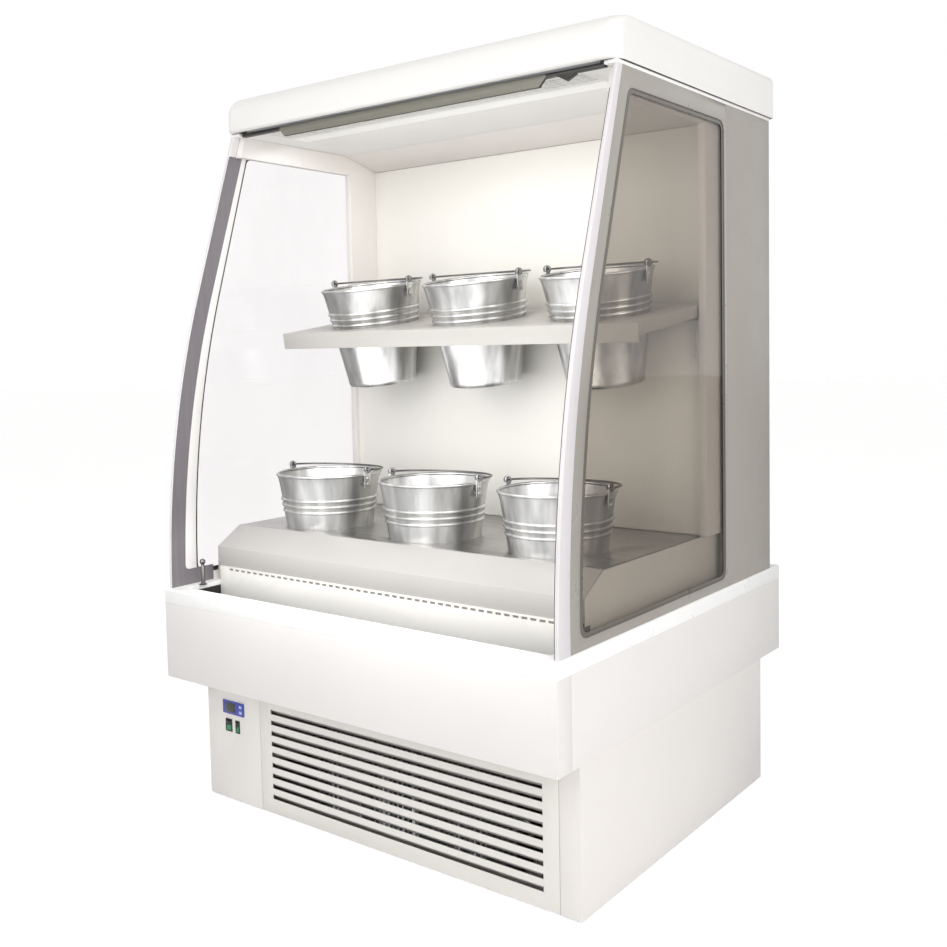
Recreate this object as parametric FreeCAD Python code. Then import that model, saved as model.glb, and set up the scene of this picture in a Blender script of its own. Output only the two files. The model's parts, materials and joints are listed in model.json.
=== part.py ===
import FreeCAD, Part
import math
import os

from FreeCAD import Vector

os.makedirs("parts", exist_ok=True)

# ---------------------------------------------------------------- driving dimensions (mm)
# Depths are counted from the belt's front face towards the back, heights from the floor.

# the stack of casings
belt_width = 1100.0          # the wide white belt round the basin
belt_depth = 1000.0
foot_height = 4.0
base_height = 308.0
belt_height = 176.0
rail_height = 33.0
side_height = 1076.0
ceiling_thickness = 7.0
canopy_height = 96.0

# sheet, insulation and clearances
sheet = 2.0                  # folded sheet steel
basin_floor = 40.0           # insulated floor of the basin
basin_side = 36.0            # insulated side wall of the basin
basin_front = 42.0           # insulated front wall of the basin
basin_back = 99.0            # insulated rear wall of the basin
seat = 0.3                   # pieces that rest on each other without being fixed
slack = 1.0                  # assembly gap between neighbouring casings
shaft_play = 0.05            # radial play of a shaft or pin in its hole

# base
base_inset_side = 18.0
base_inset_front = 100.0
base_inset_rear = 74.0
chassis_flange = 30.0
corner_return = 47.0         # front return of the base shell
inner_flange = 25.0
top_flange = 30.0
control_panel_width = 185.0

# louvred grille panel
louvre_count = 9
louvre_pitch = 25.0
louvre_opening = 11.0
louvre_margin = 37.0         # from the panel's side edge to a slot's end
louvre_top = 61.0            # from the panel's top edge to the first slot's middle
louvre_depth = 12.0
grille_edge = 14.0
grille_top_gap = 8.0
hinge_pin_radius = 3.0
hinge_pin_length = 5.0
hinge_height = 9.0           # hinge line above the panel's bottom edge

# control panel fittings
controller_width = 74.0
controller_height = 32.0
controller_bezel = 3.0
controller_body = 58.0
controller_left = 57.0       # from the base's left face to the controller
controller_drop = 68.0       # from the base's top edge to the controller
key_width = 9.0
key_height = 7.0
key_proud = 1.2
key_travel = 0.8
key_pitch = 13.0
rocker_gap = 13.0            # below the controller
rocker_frame_rim = 2.0
rocker_frame_depth = 18.0
power_rocker_width = 22.0
light_rocker_width = 14.0
rocker_height = 30.0
rocker_spacing = 31.0        # middle to middle
power_rocker_shift = 18.6    # left of the controller's middle
rocker_tilt = 8.0            # degrees of rock from one side to the other
rocker_pin_radius = 1.5

# side panels
panel_thickness = 9.0        # glazed side panel
cheek_thickness = 25.0       # insulated side wall of the rear body
panel_inset = 3.0            # behind the belt's side face
panel_front_setback = 12.0
front_curve_radius = 2300.0
front_lean = 17.5            # degrees of the straight upper part
post_depth_bottom = 40.0
post_depth_top = 20.0
glass_top_border = 38.0
glass_bottom_border = 20.0
glass_rear_border = 12.0
glass_front_border = 33.0    # between the post and the glass
glass_rebate = 8.0
glass_corner = 26.0
glass_thickness = 5.0
cheek_depth = 241.0          # opaque rear cheek, from the rear face forward
rear_body_inset = 49.0       # rear face ahead of the belt's rear face
rear_wall = 50.0

# inner fit-out
inner_ledge = 8.0            # rail's inner ledge beside the panels
riser_setback = 134.0
riser_depth = 81.0           # below the rail's top
nosing_rise = 36.0           # nosing's lower edge above the rail's top
nosing_front_height = 46.0
nosing_slope_height = 43.0
nosing_slope_depth = 69.0
deck_ledge = 20.0
deck_hem = 22.0
air_slot_length = 14.0
air_slot_height = 5.0
air_slot_pitch = 21.0
lower_duct_depth = 265.0     # air duct behind the lower back panel
upper_duct_depth = 176.0     # air duct behind the upper back panel
panel_hem = 15.0
lower_panel_rise = 7.0       # its top above the shelf's front edge
pilaster_width = 85.0
header_height = 50.0
duct_cover_depth = 117.0
duct_cover_drop = 32.0
support_arm = 40.0
support_thickness = 4.0

# shelf
shelf_depth = 352.0
shelf_rise = 469.0           # front edge above the deck
shelf_back_gap = 16.0
shelf_tilt = 8.5
shelf_nosing = 39.0
shelf_lip = 14.0
shelf_hem = 26.0
bracket_setback = 26.0
bracket_width = 12.0
bracket_height = 20.0
bracket_foot = 80.0          # height of the foot on the pilaster

# buckets
bucket_rim_radius = 128.0
bucket_base_radius = 86.0
bucket_height = 250.0
bucket_wall = 1.5
bucket_roll = 3.5
bucket_foot = 8.0
bead_first = 62.0            # below the rim
bead_pitch = 14.0
bead_count = 3
bead_proud = 2.5
bucket_spacing = 336.0
lower_bucket_back_from_edge = 130.0
lower_bucket_rim_above_deck = 130.0
upper_bucket_rim_above_shelf = 98.5
upper_bucket_back_from_edge = 157.0
ear_width = 24.0
ear_thickness = 2.5
ear_rise = 17.0              # above the rim
ear_drop = 34.0
ear_sink = 0.5               # the ear's plate is pressed this far into the rolled rim
rivet_radius = 4.0
rivet_rise = 8.0             # above the ear's lower edge
bail_wire_radius = 2.25
bail_pin_rise = 9.5          # pivot above the rim's top
bail_ear_gap = 2.0
bail_tail = 3.0              # the wire's end inside the ear

# canopy, ceiling, lamp and night blind
canopy_overhang = 4.0        # past the belt's side face
canopy_lap = 15.0            # ahead of the side panels' top corner
canopy_rear_overhang = 17.0
canopy_wall = 4.0
canopy_corner = 30.0
canopy_nose_radius = 52.0
canopy_lip_radius = 9.0
canopy_front_drop = 8.0      # top surface falls to the front by this much
fixing_inset = 95.0          # first and last fixing block from the canopy's ends
duct_half = 442.0            # half width of the air duct's mouth
outlet_setback = 50.0        # behind the canopy's front
outlet_depth = 62.0
outlet_cell = 9.0
outlet_bar = 2.5
outlet_columns = 40
outlet_rows = 5
lamp_setback = 131.0
lamp_width = 46.0
lamp_length = 900.0
lamp_depth = 34.0
lamp_flange = 8.0
blind_setback = 29.0         # behind the canopy's front
blind_slot_gap = 4.0
blind_bar_depth = 12.0
blind_bar_height = 8.0
blind_grip_height = 24.0
blind_grip_half = 380.0
blind_side_gap = 8.0
blind_latch_width = 42.0
blind_latch_height = 20.0
blind_latch_start = 26.0     # past the grip's end
blind_tube_radius = 16.0
blind_roll_radius = 24.0
blind_roll_rise = 40.0       # roll's axis above the ceiling's top
blind_fabric_thickness = 0.8
blind_end_gap = 6.0
blind_plug_length = 25.0
hook_height = 62.0
hook_back = 78.0
hook_radius = 5.0
hook_head_radius = 7.0

# refrigeration
condenser_width = 560.0
condenser_height = 230.0
condenser_depth = 50.0
condenser_setback = 50.0     # behind the base's front
condenser_lift = 20.0        # above the machine room's floor
fin_pitch = 14.0
fin_gap = 9.0
fin_cut = 14.0
tube_radius = 5.0
shroud_depth = 40.0
fan_radius = 98.0
fan_tip_gap = 6.0
fan_hub_radius = 24.0
fan_hub_length = 26.0
fan_blades = 5
fan_clear = 4.0              # hub behind its mouth's plate
fan_pitch_angle = 32.0
motor_radius = 38.0
motor_length = 60.0
shaft_radius = 4.0
compressor_radius = 82.0
compressor_height = 190.0
compressor_from_side = 272.0
compressor_from_rear = 326.0
mount_height = 18.0
evaporator_width = 880.0
evaporator_height = 320.0
evaporator_depth = 130.0
evaporator_gap = 64.0        # behind the lower back panel
evaporator_lift = 60.0       # above the deck
fan_plate_gap = 91.0         # ahead of the lower back panel
evaporator_fan_x = 240.0
evaporator_fan_radius = 88.0
pipe_radius = 4.0
pipe_bend = 14.0
pipe_spacing = 22.0
pipe_sleeve = 3.0            # gap round a pipe in the basin's floor
coil_rows = 6
drier_radius = 14.0
drier_length = 90.0
pan_width = 420.0
pan_depth = 200.0
pan_height = 50.0
pan_gap = 30.0
box_width = 150.0
box_height = 110.0
box_depth = 70.0

# ---------------------------------------------------------------- derived levels and planes
half_width = belt_width / 2
base_bottom = foot_height
base_top = base_bottom + base_height
belt_top = base_top + belt_height
rail_top = belt_top + rail_height
side_top = rail_top + side_height
ceiling_top = side_top + ceiling_thickness
canopy_top = ceiling_top + canopy_height

base_half = half_width - base_inset_side
base_front = base_inset_front
base_rear = belt_depth - base_inset_rear

panel_outer = half_width - panel_inset
glazing_inner = panel_outer - panel_thickness
panel_inner = panel_outer - cheek_thickness
rear_face = belt_depth - rear_body_inset
rear_inner = rear_face - rear_wall
cheek_start = rear_face - cheek_depth
ledge_inner = panel_inner - inner_ledge
basin_inner = half_width - basin_side
basin_low = base_top + basin_floor

lean = math.radians(front_lean)
curve_end = rail_top + front_curve_radius * math.sin(lean)
curve_end_back = panel_front_setback + front_curve_radius * (1 - math.cos(lean))
panel_top_back = curve_end_back + (side_top - curve_end) * math.tan(lean)

nosing_bottom = rail_top + nosing_rise
nosing_crease_back = riser_setback + sheet
nosing_crease_height = nosing_bottom + nosing_front_height
nosing_top_back = nosing_crease_back + nosing_slope_depth
deck_level = nosing_crease_height + nosing_slope_height

lower_panel_back = rear_inner - lower_duct_depth
upper_panel_back = rear_inner - upper_duct_depth
pilaster_start = cheek_start - pilaster_width
duct_cover_start = upper_panel_back - duct_cover_depth

tilt = math.radians(shelf_tilt)
shelf_front = upper_panel_back - shelf_back_gap - shelf_depth * math.cos(tilt)
shelf_front_height = deck_level + shelf_rise
lower_panel_top = shelf_front_height + lower_panel_rise
lower_bucket_back = nosing_top_back + lower_bucket_back_from_edge
lower_bucket_rim = deck_level + lower_bucket_rim_above_deck

canopy_front = panel_top_back - canopy_lap
outlet_start = canopy_front + outlet_setback
lamp_start = canopy_front + lamp_setback
blind_back = canopy_front + blind_setback


# ---------------------------------------------------------------- helpers
def box(x0, x1, y0, y1, z0, z1):
    return Part.makeBox(x1 - x0, y1 - y0, z1 - z0, Vector(x0, y0, z0))


def cylinder(radius, start, end):
    a = Vector(*start)
    b = Vector(*end)
    return Part.makeCylinder(radius, (b - a).Length, a, b - a)


def face_of(edges):
    return Part.Face(Part.Wire(edges))


def polygon_face(points):
    return Part.Face(Part.makePolygon(points + points[:1]))


def prism_x(outline, x0, x1):
    """A block along X from an outline of (back, height) pairs."""
    face = polygon_face([Vector(x0, y, z) for y, z in outline])
    return face.extrude(Vector(x1 - x0, 0, 0))


def prism_z(outline, z0, z1):
    """A block along Z from an outline of (x, back) pairs."""
    face = polygon_face([Vector(x, y, z0) for x, y in outline])
    return face.extrude(Vector(0, 0, z1 - z0))


def thickened(path, thickness):
    """Outline of a folded sheet: the path, and the path set over to its left by the thickness."""
    count = len(path)
    moved = []
    for i in range(count):
        before = path[max(i - 1, 0)]
        here = path[i]
        after = path[min(i + 1, count - 1)]
        first = (here[0] - before[0], here[1] - before[1]) if i > 0 else None
        second = (after[0] - here[0], after[1] - here[1]) if i < count - 1 else None
        first = first or second
        second = second or first
        n1 = (-first[1] / math.hypot(*first), first[0] / math.hypot(*first))
        n2 = (-second[1] / math.hypot(*second), second[0] / math.hypot(*second))
        half = 1 + n1[0] * n2[0] + n1[1] * n2[1]
        moved.append((here[0] + thickness * (n1[0] + n2[0]) / half,
                      here[1] + thickness * (n1[1] + n2[1]) / half))
    return path + moved[::-1]


def mirrored(shape):
    return shape.mirror(Vector(0, 0, 0), Vector(1, 0, 0))


def tilted(shape, back, height, angle):
    """Turns a shape about an X line, so that its back rises by the angle."""
    turned = shape.copy()
    turned.rotate(Vector(0, back, height), Vector(1, 0, 0), math.degrees(angle))
    return turned


def fused(shapes):
    return shapes[0].multiFuse(shapes[1:]).removeSplitter()


def bent_tube(points, radius, bend):
    """A round tube along straight runs joined by tangent arcs."""
    edges = []
    start = points[0]
    for i in range(1, len(points) - 1):
        back = (points[i - 1] - points[i]).normalize()
        ahead = (points[i + 1] - points[i]).normalize()
        half_turn = math.acos(max(-1.0, min(1.0, -back.dot(ahead)))) / 2
        reach = bend * math.tan(half_turn)
        enter = points[i] + back * reach
        leave = points[i] + ahead * reach
        inward = (back + ahead).normalize()
        middle = points[i] + inward * (bend / math.cos(half_turn) - bend)
        edges.append(Part.LineSegment(start, enter).toShape())
        edges.append(Part.Arc(enter, middle, leave).toShape())
        start = leave
    edges.append(Part.LineSegment(start, points[-1]).toShape())
    path = Part.Wire(edges)
    ring = Part.Wire([Part.Circle(points[0], points[1] - points[0], radius).toShape()])
    return path.makePipeShell([ring], True, False)


def front_back(height):
    """How far back the side panel's front edge lies at a height."""
    if height <= curve_end:
        rise = (height - rail_top) / front_curve_radius
        return panel_front_setback + front_curve_radius * (1 - math.sqrt(1 - rise * rise))
    return curve_end_back + (height - curve_end) * math.tan(lean)


def post_depth(height):
    share = (height - rail_top) / side_height
    return post_depth_bottom + (post_depth_top - post_depth_bottom) * share


def save(name, shape):
    placed = shape.copy()
    placed.translate(Vector(0, -belt_depth / 2, 0))
    placed.exportStep("parts/" + name + ".step")
    print(name, len(placed.Solids), round(placed.Volume / 1000), "cm3", placed.isValid())


# ---------------------------------------------------------------- base
def make_feet():
    inset = 60.0
    disc_radius = 20.0
    disc_height = 3.0
    stem_radius = 5.0
    feet = []
    for x in (-base_half + inset, base_half - inset):
        for y in (base_front + inset, base_rear - inset):
            disc = cylinder(disc_radius, (x, y, 0), (x, y, disc_height))
            stem = cylinder(stem_radius, (x, y, disc_height), (x, y, base_bottom))
            feet.append(disc.fuse(stem))
    return Part.Compound(feet)


chassis_half = base_half - sheet - seat
chassis_front = base_front + inner_flange + seat
chassis_back = base_rear - sheet - seat


def make_chassis():
    outer = box(-chassis_half, chassis_half, chassis_front, chassis_back, base_bottom,
                base_bottom + chassis_flange)
    inner = box(-chassis_half + sheet, chassis_half - sheet, chassis_front + sheet,
                chassis_back - sheet, base_bottom + sheet, base_bottom + chassis_flange + slack)
    return outer.cut(inner)


def make_base_shell():
    path = [(-base_half, base_front + sheet), (-base_half, base_rear), (base_half, base_rear),
            (base_half, base_front), (base_half - corner_return, base_front),
            (base_half - corner_return, base_front + inner_flange)]
    walls = prism_z(thickened(path, -sheet), base_bottom, base_top)
    rim = box(-base_half, base_half, base_front + inner_flange, base_rear, base_top - sheet, base_top)
    well = box(-base_half + top_flange, base_half - top_flange, base_front + inner_flange + top_flange,
               base_rear - top_flange, base_top - 2 * sheet, base_top + sheet)
    shell = walls.fuse(rim.cut(well))
    slots = []
    slot_half = 300.0
    slot_height = 8.0
    slot_pitch = 22.0
    slot_count = 8
    first_slot = base_bottom + 70.0
    for i in range(slot_count):
        z = first_slot + i * slot_pitch
        slots.append(box(-slot_half, slot_half, base_rear - 2 * sheet, base_rear + sheet, z,
                         z + slot_height))
    gland = cylinder(gland_radius, (gland_x, base_rear - 2 * sheet, gland_height),
                     (gland_x, base_rear + sheet, gland_height))
    pin = cylinder(hinge_pin_radius + shaft_play, (grille_right - sheet, hinge_back, hinge_level),
                   (grille_right + 2 * sheet + slack, hinge_back, hinge_level))
    return shell.cut(Part.Compound(slots + [gland, pin])).removeSplitter()


control_left = -base_half
control_right = control_left + control_panel_width
grille_left = control_right + slack
grille_right = base_half - corner_return - slack
hinge_back = base_front + grille_edge / 2
hinge_level = base_bottom + hinge_height
gland_x = -400.0
gland_height = base_bottom + 60.0
gland_radius = 10.0

controller_x = control_left + controller_left + controller_width / 2
controller_z = base_top - controller_drop - controller_height / 2
rocker_z = controller_z - controller_height / 2 - rocker_gap - rocker_height / 2
power_x = controller_x - power_rocker_shift
light_x = power_x + rocker_spacing
rocker_widths = {power_x: power_rocker_width, light_x: light_rocker_width}


def make_control_panel():
    path = [(control_left, base_front + sheet), (control_left, base_front), (control_right, base_front),
            (control_right, base_front + inner_flange)]
    plate = prism_z(thickened(path, sheet), base_bottom, base_top)
    body_width = controller_width - 2 * controller_bezel
    body_height = controller_height - 2 * controller_bezel
    holes = [box(controller_x - body_width / 2, controller_x + body_width / 2, base_front - sheet,
                 base_front + 2 * sheet, controller_z - body_height / 2, controller_z + body_height / 2)]
    for x, width in rocker_widths.items():
        cut_width = width / 2 - rocker_frame_rim / 2
        cut_height = rocker_height / 2 - rocker_frame_rim / 2
        holes.append(box(x - cut_width, x + cut_width, base_front - sheet, base_front + 2 * sheet,
                         rocker_z - cut_height, rocker_z + cut_height))
    holes.append(cylinder(hinge_pin_radius + shaft_play, (control_right - 2 * sheet, hinge_back, hinge_level),
                          (control_right + sheet, hinge_back, hinge_level)))
    return plate.cut(Part.Compound(holes))


def make_grille_panel():
    bottom = base_bottom
    top = base_top - grille_top_gap
    outer = box(grille_left, grille_right, base_front, base_front + grille_edge, bottom, top)
    inner = box(grille_left + sheet, grille_right - sheet, base_front + sheet,
                base_front + grille_edge + sheet, bottom + sheet, top - sheet)
    tray = outer.cut(inner)
    openings = []
    blades = []
    for i in range(louvre_count):
        z = top - louvre_top - i * louvre_pitch
        openings.append(box(grille_left + louvre_margin, grille_right - louvre_margin, base_front - sheet,
                            base_front + 2 * sheet, z - louvre_opening / 2, z + louvre_opening / 2))
        blade = [(base_front + sheet, z + louvre_opening / 2 + sheet),
                 (base_front + sheet, z + louvre_opening / 2),
                 (base_front + louvre_depth, z - louvre_opening / 2),
                 (base_front + louvre_depth, z - louvre_opening / 2 + sheet)]
        blades.append(prism_x(blade, grille_left + louvre_margin - sheet, grille_right - louvre_margin + sheet))
    tray = tray.cut(Part.Compound(openings))
    pins = []
    for x, way in ((grille_left, -1), (grille_right, 1)):
        pins.append(cylinder(hinge_pin_radius, (x - way * sheet, hinge_back, hinge_level),
                             (x + way * hinge_pin_length, hinge_back, hinge_level)))
    return fused([tray] + blades + pins)


# ---------------------------------------------------------------- controls
def make_controller():
    front = box(controller_x - controller_width / 2, controller_x + controller_width / 2,
                base_front - controller_bezel, base_front, controller_z - controller_height / 2,
                controller_z + controller_height / 2)
    front = front.makeFillet(1.2, [e for e in front.Edges if e.BoundBox.YMax < base_front - controller_bezel / 2])
    body_width = controller_width - 2 * controller_bezel - slack
    body_height = controller_height - 2 * controller_bezel - slack
    body = box(controller_x - body_width / 2, controller_x + body_width / 2, base_front,
               base_front + controller_body, controller_z - body_height / 2, controller_z + body_height / 2)
    wells = []
    for x, z in key_places():
        wells.append(box(x - key_width / 2 - seat, x + key_width / 2 + seat, base_front - 2 * controller_bezel,
                         base_front - controller_bezel + key_proud + key_travel,
                         z - key_height / 2 - seat, z + key_height / 2 + seat))
    return front.fuse(body).cut(Part.Compound(wells))


def key_places():
    x = controller_x + controller_width / 2 - 2 * controller_bezel - key_width / 2
    return [(x, controller_z + key_pitch / 2), (x, controller_z - key_pitch / 2)]


def make_key(place):
    x, z = place
    front = base_front - controller_bezel
    return box(x - key_width / 2, x + key_width / 2, front - key_proud, front + key_proud,
               z - key_height / 2, z + key_height / 2)


def make_rocker_frames():
    frames = []
    for x, width in rocker_widths.items():
        half = width / 2
        tall = rocker_height / 2
        rim = box(x - half, x + half, base_front - rocker_frame_rim, base_front, rocker_z - tall,
                  rocker_z + tall)
        body_half = half - rocker_frame_rim / 2 - seat
        body_tall = tall - rocker_frame_rim / 2 - seat
        body = box(x - body_half, x + body_half, base_front, base_front + rocker_frame_depth,
                   rocker_z - body_tall, rocker_z + body_tall)
        well = box(x - half + rocker_frame_rim, x + half - rocker_frame_rim, base_front - 2 * rocker_frame_rim,
                   base_front + rocker_frame_depth - sheet, rocker_z - tall + rocker_frame_rim,
                   rocker_z + tall - rocker_frame_rim)
        pin = cylinder(rocker_pin_radius, (x - half + rocker_frame_rim / 2, rocker_pivot_back, rocker_z),
                       (x + half - rocker_frame_rim / 2, rocker_pivot_back, rocker_z))
        frames.append(rim.fuse(body).cut(well).fuse(pin))
    return Part.Compound(frames)


rocker_pivot_back = base_front + 5.0


def make_rocker(x):
    half = rocker_widths[x] / 2 - rocker_frame_rim - seat
    tall = rocker_height / 2 - rocker_frame_rim - 2 * seat
    rock = math.radians(rocker_tilt) / 2
    boss = 3 * rocker_pin_radius
    reach = 5.0
    end = tall - 0.6
    shoulder = tall - 1.4
    face = base_front - rocker_frame_rim
    outline = [(face - tall * math.tan(rock), rocker_z + end),
               (face + slack, rocker_z),
               (face - tall * math.tan(rock), rocker_z - end),
               (rocker_pivot_back, rocker_z - shoulder),
               (rocker_pivot_back + reach, rocker_z - boss),
               (rocker_pivot_back + reach, rocker_z + boss),
               (rocker_pivot_back, rocker_z + shoulder)]
    block = prism_x(outline, x - half, x + half)
    bore = cylinder(rocker_pin_radius + shaft_play, (x - half - slack, rocker_pivot_back, rocker_z),
                    (x + half + slack, rocker_pivot_back, rocker_z))
    return tilted(block.cut(bore), rocker_pivot_back, rocker_z, rock)


# ---------------------------------------------------------------- belt and basin
def make_basin():
    outer = box(-half_width + sheet, half_width - sheet, sheet, belt_depth - sheet, base_top, belt_top)
    inner = box(-basin_inner, basin_inner, basin_front, belt_depth - basin_back, basin_low,
                belt_top + slack)
    drain_radius = 18.0
    holes = [cylinder(drain_radius, (0, drain_back, base_top - slack), (0, drain_back, belt_top))]
    for x, y in ((suction_x, pipe_back), (liquid_x, pipe_back - pipe_spacing)):
        holes.append(cylinder(pipe_radius + pipe_sleeve, (x, y, base_top - slack), (x, y, basin_low + slack)))
    return outer.cut(inner).cut(Part.Compound(holes))


drain_back = lower_panel_back - 166.0
belt_wrap = 48.0
pipe_back = rear_inner - 36.0
liquid_x = evaporator_width / 2 + 1.5 * pipe_bend
suction_x = liquid_x + pipe_spacing


def make_belt_front():
    path = [(-half_width, belt_wrap), (-half_width, 0), (half_width, 0), (half_width, belt_wrap)]
    return prism_z(thickened(path, sheet), base_top, belt_top)


def make_belt_sides():
    path = [(half_width, belt_wrap + seat), (half_width, belt_depth), (half_width - belt_wrap, belt_depth)]
    right = prism_z(thickened(path, sheet), base_top, belt_top)
    back_path = [(half_width - belt_wrap - seat, belt_depth), (-half_width + belt_wrap + seat, belt_depth)]
    back = prism_z(thickened(back_path, sheet), base_top, belt_top)
    return Part.Compound([right, mirrored(right), back])


def make_rail():
    bevel = 5.0
    round_radius = 4.0
    outer = box(-half_width, half_width, 0, belt_depth, belt_top, rail_top)
    top_edges = [e for e in outer.Edges if e.BoundBox.ZMin > rail_top - slack]
    outer = outer.makeFillet(round_radius, top_edges)
    inner = box(-ledge_inner, ledge_inner, basin_front - bevel, rear_inner, belt_top - slack, rail_top + slack)
    return outer.cut(inner)


# ---------------------------------------------------------------- side panels
def front_edges(x, low, high, shift_low, shift_high):
    """The panel's front line between two heights, moved back by a shift that changes with height."""
    share = (curve_end - low) / (high - low)
    shift_mid = shift_low + (shift_high - shift_low) * share
    start = Vector(x, front_back(low) + shift_low, low)
    knee = Vector(x, front_back(curve_end) + shift_mid, curve_end)
    end = Vector(x, front_back(high) + shift_high, high)
    middle_height = (low + curve_end) / 2
    shift = (shift_low + shift_mid) / 2
    middle = Vector(x, front_back(middle_height) + shift, middle_height)
    return [Part.Arc(start, middle, knee).toShape(), Part.LineSegment(knee, end).toShape()]


def panel_block(x0, x1, low, high, front_low, front_high, back):
    edges = front_edges(x0, low, high, front_low, front_high)
    top_front = edges[1].Vertexes[1].Point
    bottom_front = edges[0].Vertexes[0].Point
    top_back = Vector(x0, back, high)
    bottom_back = Vector(x0, back, low)
    edges.append(Part.LineSegment(top_front, top_back).toShape())
    edges.append(Part.LineSegment(top_back, bottom_back).toShape())
    edges.append(Part.LineSegment(bottom_back, bottom_front).toShape())
    return face_of(edges).extrude(Vector(x1 - x0, 0, 0))


def make_side_posts():
    whole = panel_block(glazing_inner, panel_outer, rail_top, side_top, 0, 0, cheek_start)
    behind = panel_block(glazing_inner - slack, panel_outer + slack, rail_top, side_top,
                         post_depth_bottom, post_depth_top, cheek_start + slack)
    post = whole.cut(behind)
    nose = [e for e in post.Edges if e.BoundBox.YMin < front_back(side_top) + 1 and e.BoundBox.XLength < 0.01
            and e.BoundBox.ZLength > 100 and abs(e.CenterOfMass.y - front_back(e.CenterOfMass.z)) < 8]
    post = post.makeFillet(3.0, nose)
    return Part.Compound([post, mirrored(post)])


def glass_opening(x0, x1, spread):
    """The glazed area with its rounded corners; spread makes it larger all round."""
    low = rail_top + glass_bottom_border - spread
    high = side_top - glass_top_border + spread
    back = cheek_start - glass_rear_border + spread
    front_low = post_depth(low) + glass_front_border - spread
    front_high = post_depth(high) + glass_front_border - spread
    block = panel_block(x0, x1, low, high, front_low, front_high, back)
    corners = [e for e in block.Edges if e.BoundBox.XLength > abs(x1 - x0) - 0.01
               and e.BoundBox.ZLength < 0.01 and (e.BoundBox.ZMin < low + 1 or e.BoundBox.ZMax > high - 1)]
    return block.makeFillet(glass_corner + spread, corners)


def make_side_frames():
    block = panel_block(glazing_inner, panel_outer, rail_top, side_top, post_depth_bottom + seat,
                        post_depth_top + seat, cheek_start - seat)
    frame = block.cut(glass_opening(glazing_inner - slack, panel_outer + slack, 0))
    lip_x = (panel_thickness - glass_thickness) / 2
    rebate = glass_opening(glazing_inner + lip_x - seat, panel_outer - lip_x + seat, glass_rebate)
    frame = frame.cut(rebate)
    return Part.Compound([frame, mirrored(frame)])


def make_side_glass():
    lip_x = (panel_thickness - glass_thickness) / 2
    unit = glass_opening(glazing_inner + lip_x, panel_outer - lip_x, glass_rebate - seat)
    return Part.Compound([unit, mirrored(unit)])


# ---------------------------------------------------------------- rear body, liners and panels
def make_rear_body():
    outline = [(-panel_outer, cheek_start), (-panel_outer, rear_face), (panel_outer, rear_face),
               (panel_outer, cheek_start), (panel_inner, cheek_start), (panel_inner, rear_inner),
               (-panel_inner, rear_inner), (-panel_inner, cheek_start)]
    return prism_z(outline, rail_top, side_top)


def make_inner_trims():
    outer = panel_inner
    low = deck_level
    front = front_back(side_top) + post_depth_top
    header_low = side_top - header_height
    outline = [(front + slack, side_top - seat), (front - header_height * math.tan(lean) + slack, header_low),
               (pilaster_start, header_low), (pilaster_start, low), (rear_inner - seat, low),
               (rear_inner - seat, side_top - seat)]
    stile = outline[:4] + [(cheek_start - seat, low), (cheek_start - seat, side_top - seat)]
    right = fused([prism_x(outline, outer - sheet, outer), prism_x(stile, outer - sheet, glazing_inner - seat)])
    cover_half = outer - sheet - seat
    cover_path = [(duct_cover_start, side_top - seat), (upper_panel_back, side_top - duct_cover_drop - seat)]
    lift = sheet
    cover = [cover_path[0], cover_path[1], (cover_path[1][0], cover_path[1][1] + lift),
             (cover_path[1][0], side_top - seat)]
    trim = prism_x(cover, -cover_half, cover_half)
    return Part.Compound([right, mirrored(right), trim])


def make_lower_back_panel():
    half = panel_inner - sheet - seat
    path = [(lower_panel_back + panel_hem, deck_level + seat), (lower_panel_back, deck_level + seat),
            (lower_panel_back, lower_panel_top), (upper_panel_back + panel_hem, lower_panel_top)]
    return prism_x(thickened(path, -sheet), -half, half)


def make_upper_back_panel():
    half = panel_inner - sheet - seat
    top = side_top - duct_cover_drop - 2 * seat
    path = [(upper_panel_back + panel_hem, lower_panel_top + seat),
            (upper_panel_back, lower_panel_top + seat), (upper_panel_back, top),
            (upper_panel_back + panel_hem, top)]
    return prism_x(thickened(path, -sheet), -half, half)


# ---------------------------------------------------------------- riser, nosing and deck
fit_half = ledge_inner - slack


def make_riser():
    top = nosing_bottom - seat
    riser_bottom = rail_top - riser_depth
    hem = 12.0
    path = [(riser_setback + hem, riser_bottom), (riser_setback, riser_bottom), (riser_setback, top),
            (riser_setback + hem, top)]
    plate = prism_x(thickened(path, -sheet), -fit_half, fit_half)
    count = int((2 * fit_half - 2 * air_slot_pitch) / air_slot_pitch)
    first = -(count - 1) * air_slot_pitch / 2
    slots = []
    for i in range(count):
        x = first + i * air_slot_pitch
        z = top - 2 * sheet - air_slot_height
        slots.append(box(x - air_slot_length / 2, x + air_slot_length / 2, riser_setback - sheet,
                         riser_setback + 2 * sheet, z, z + air_slot_height))
    leg = box(-fit_half, -fit_half + 2 * hem, riser_setback + sheet, riser_setback + sheet + hem,
              basin_low + seat, riser_bottom + 2 * sheet)
    return fused([plate.cut(Part.Compound(slots)), leg, mirrored(leg)])


def make_nosing():
    half = panel_inner - seat
    hem = 14.0
    path = [(nosing_crease_back + hem, nosing_bottom), (nosing_crease_back, nosing_bottom),
            (nosing_crease_back, nosing_crease_height), (nosing_top_back, deck_level),
            (nosing_top_back + 2 * sheet, deck_level),
            (nosing_top_back + 2 * sheet, deck_level - 2 * sheet - seat),
            (nosing_top_back + deck_ledge, deck_level - 2 * sheet - seat)]
    skin = thickened(path[:5], -sheet)
    drop = box(-half, half, path[4][0] - sheet, path[4][0], path[5][1], deck_level)
    ledge = box(-half, half, path[4][0] - sheet, path[6][0], path[5][1], path[5][1] + sheet)
    return fused([prism_x(skin, -half, half), drop, ledge])


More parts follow.
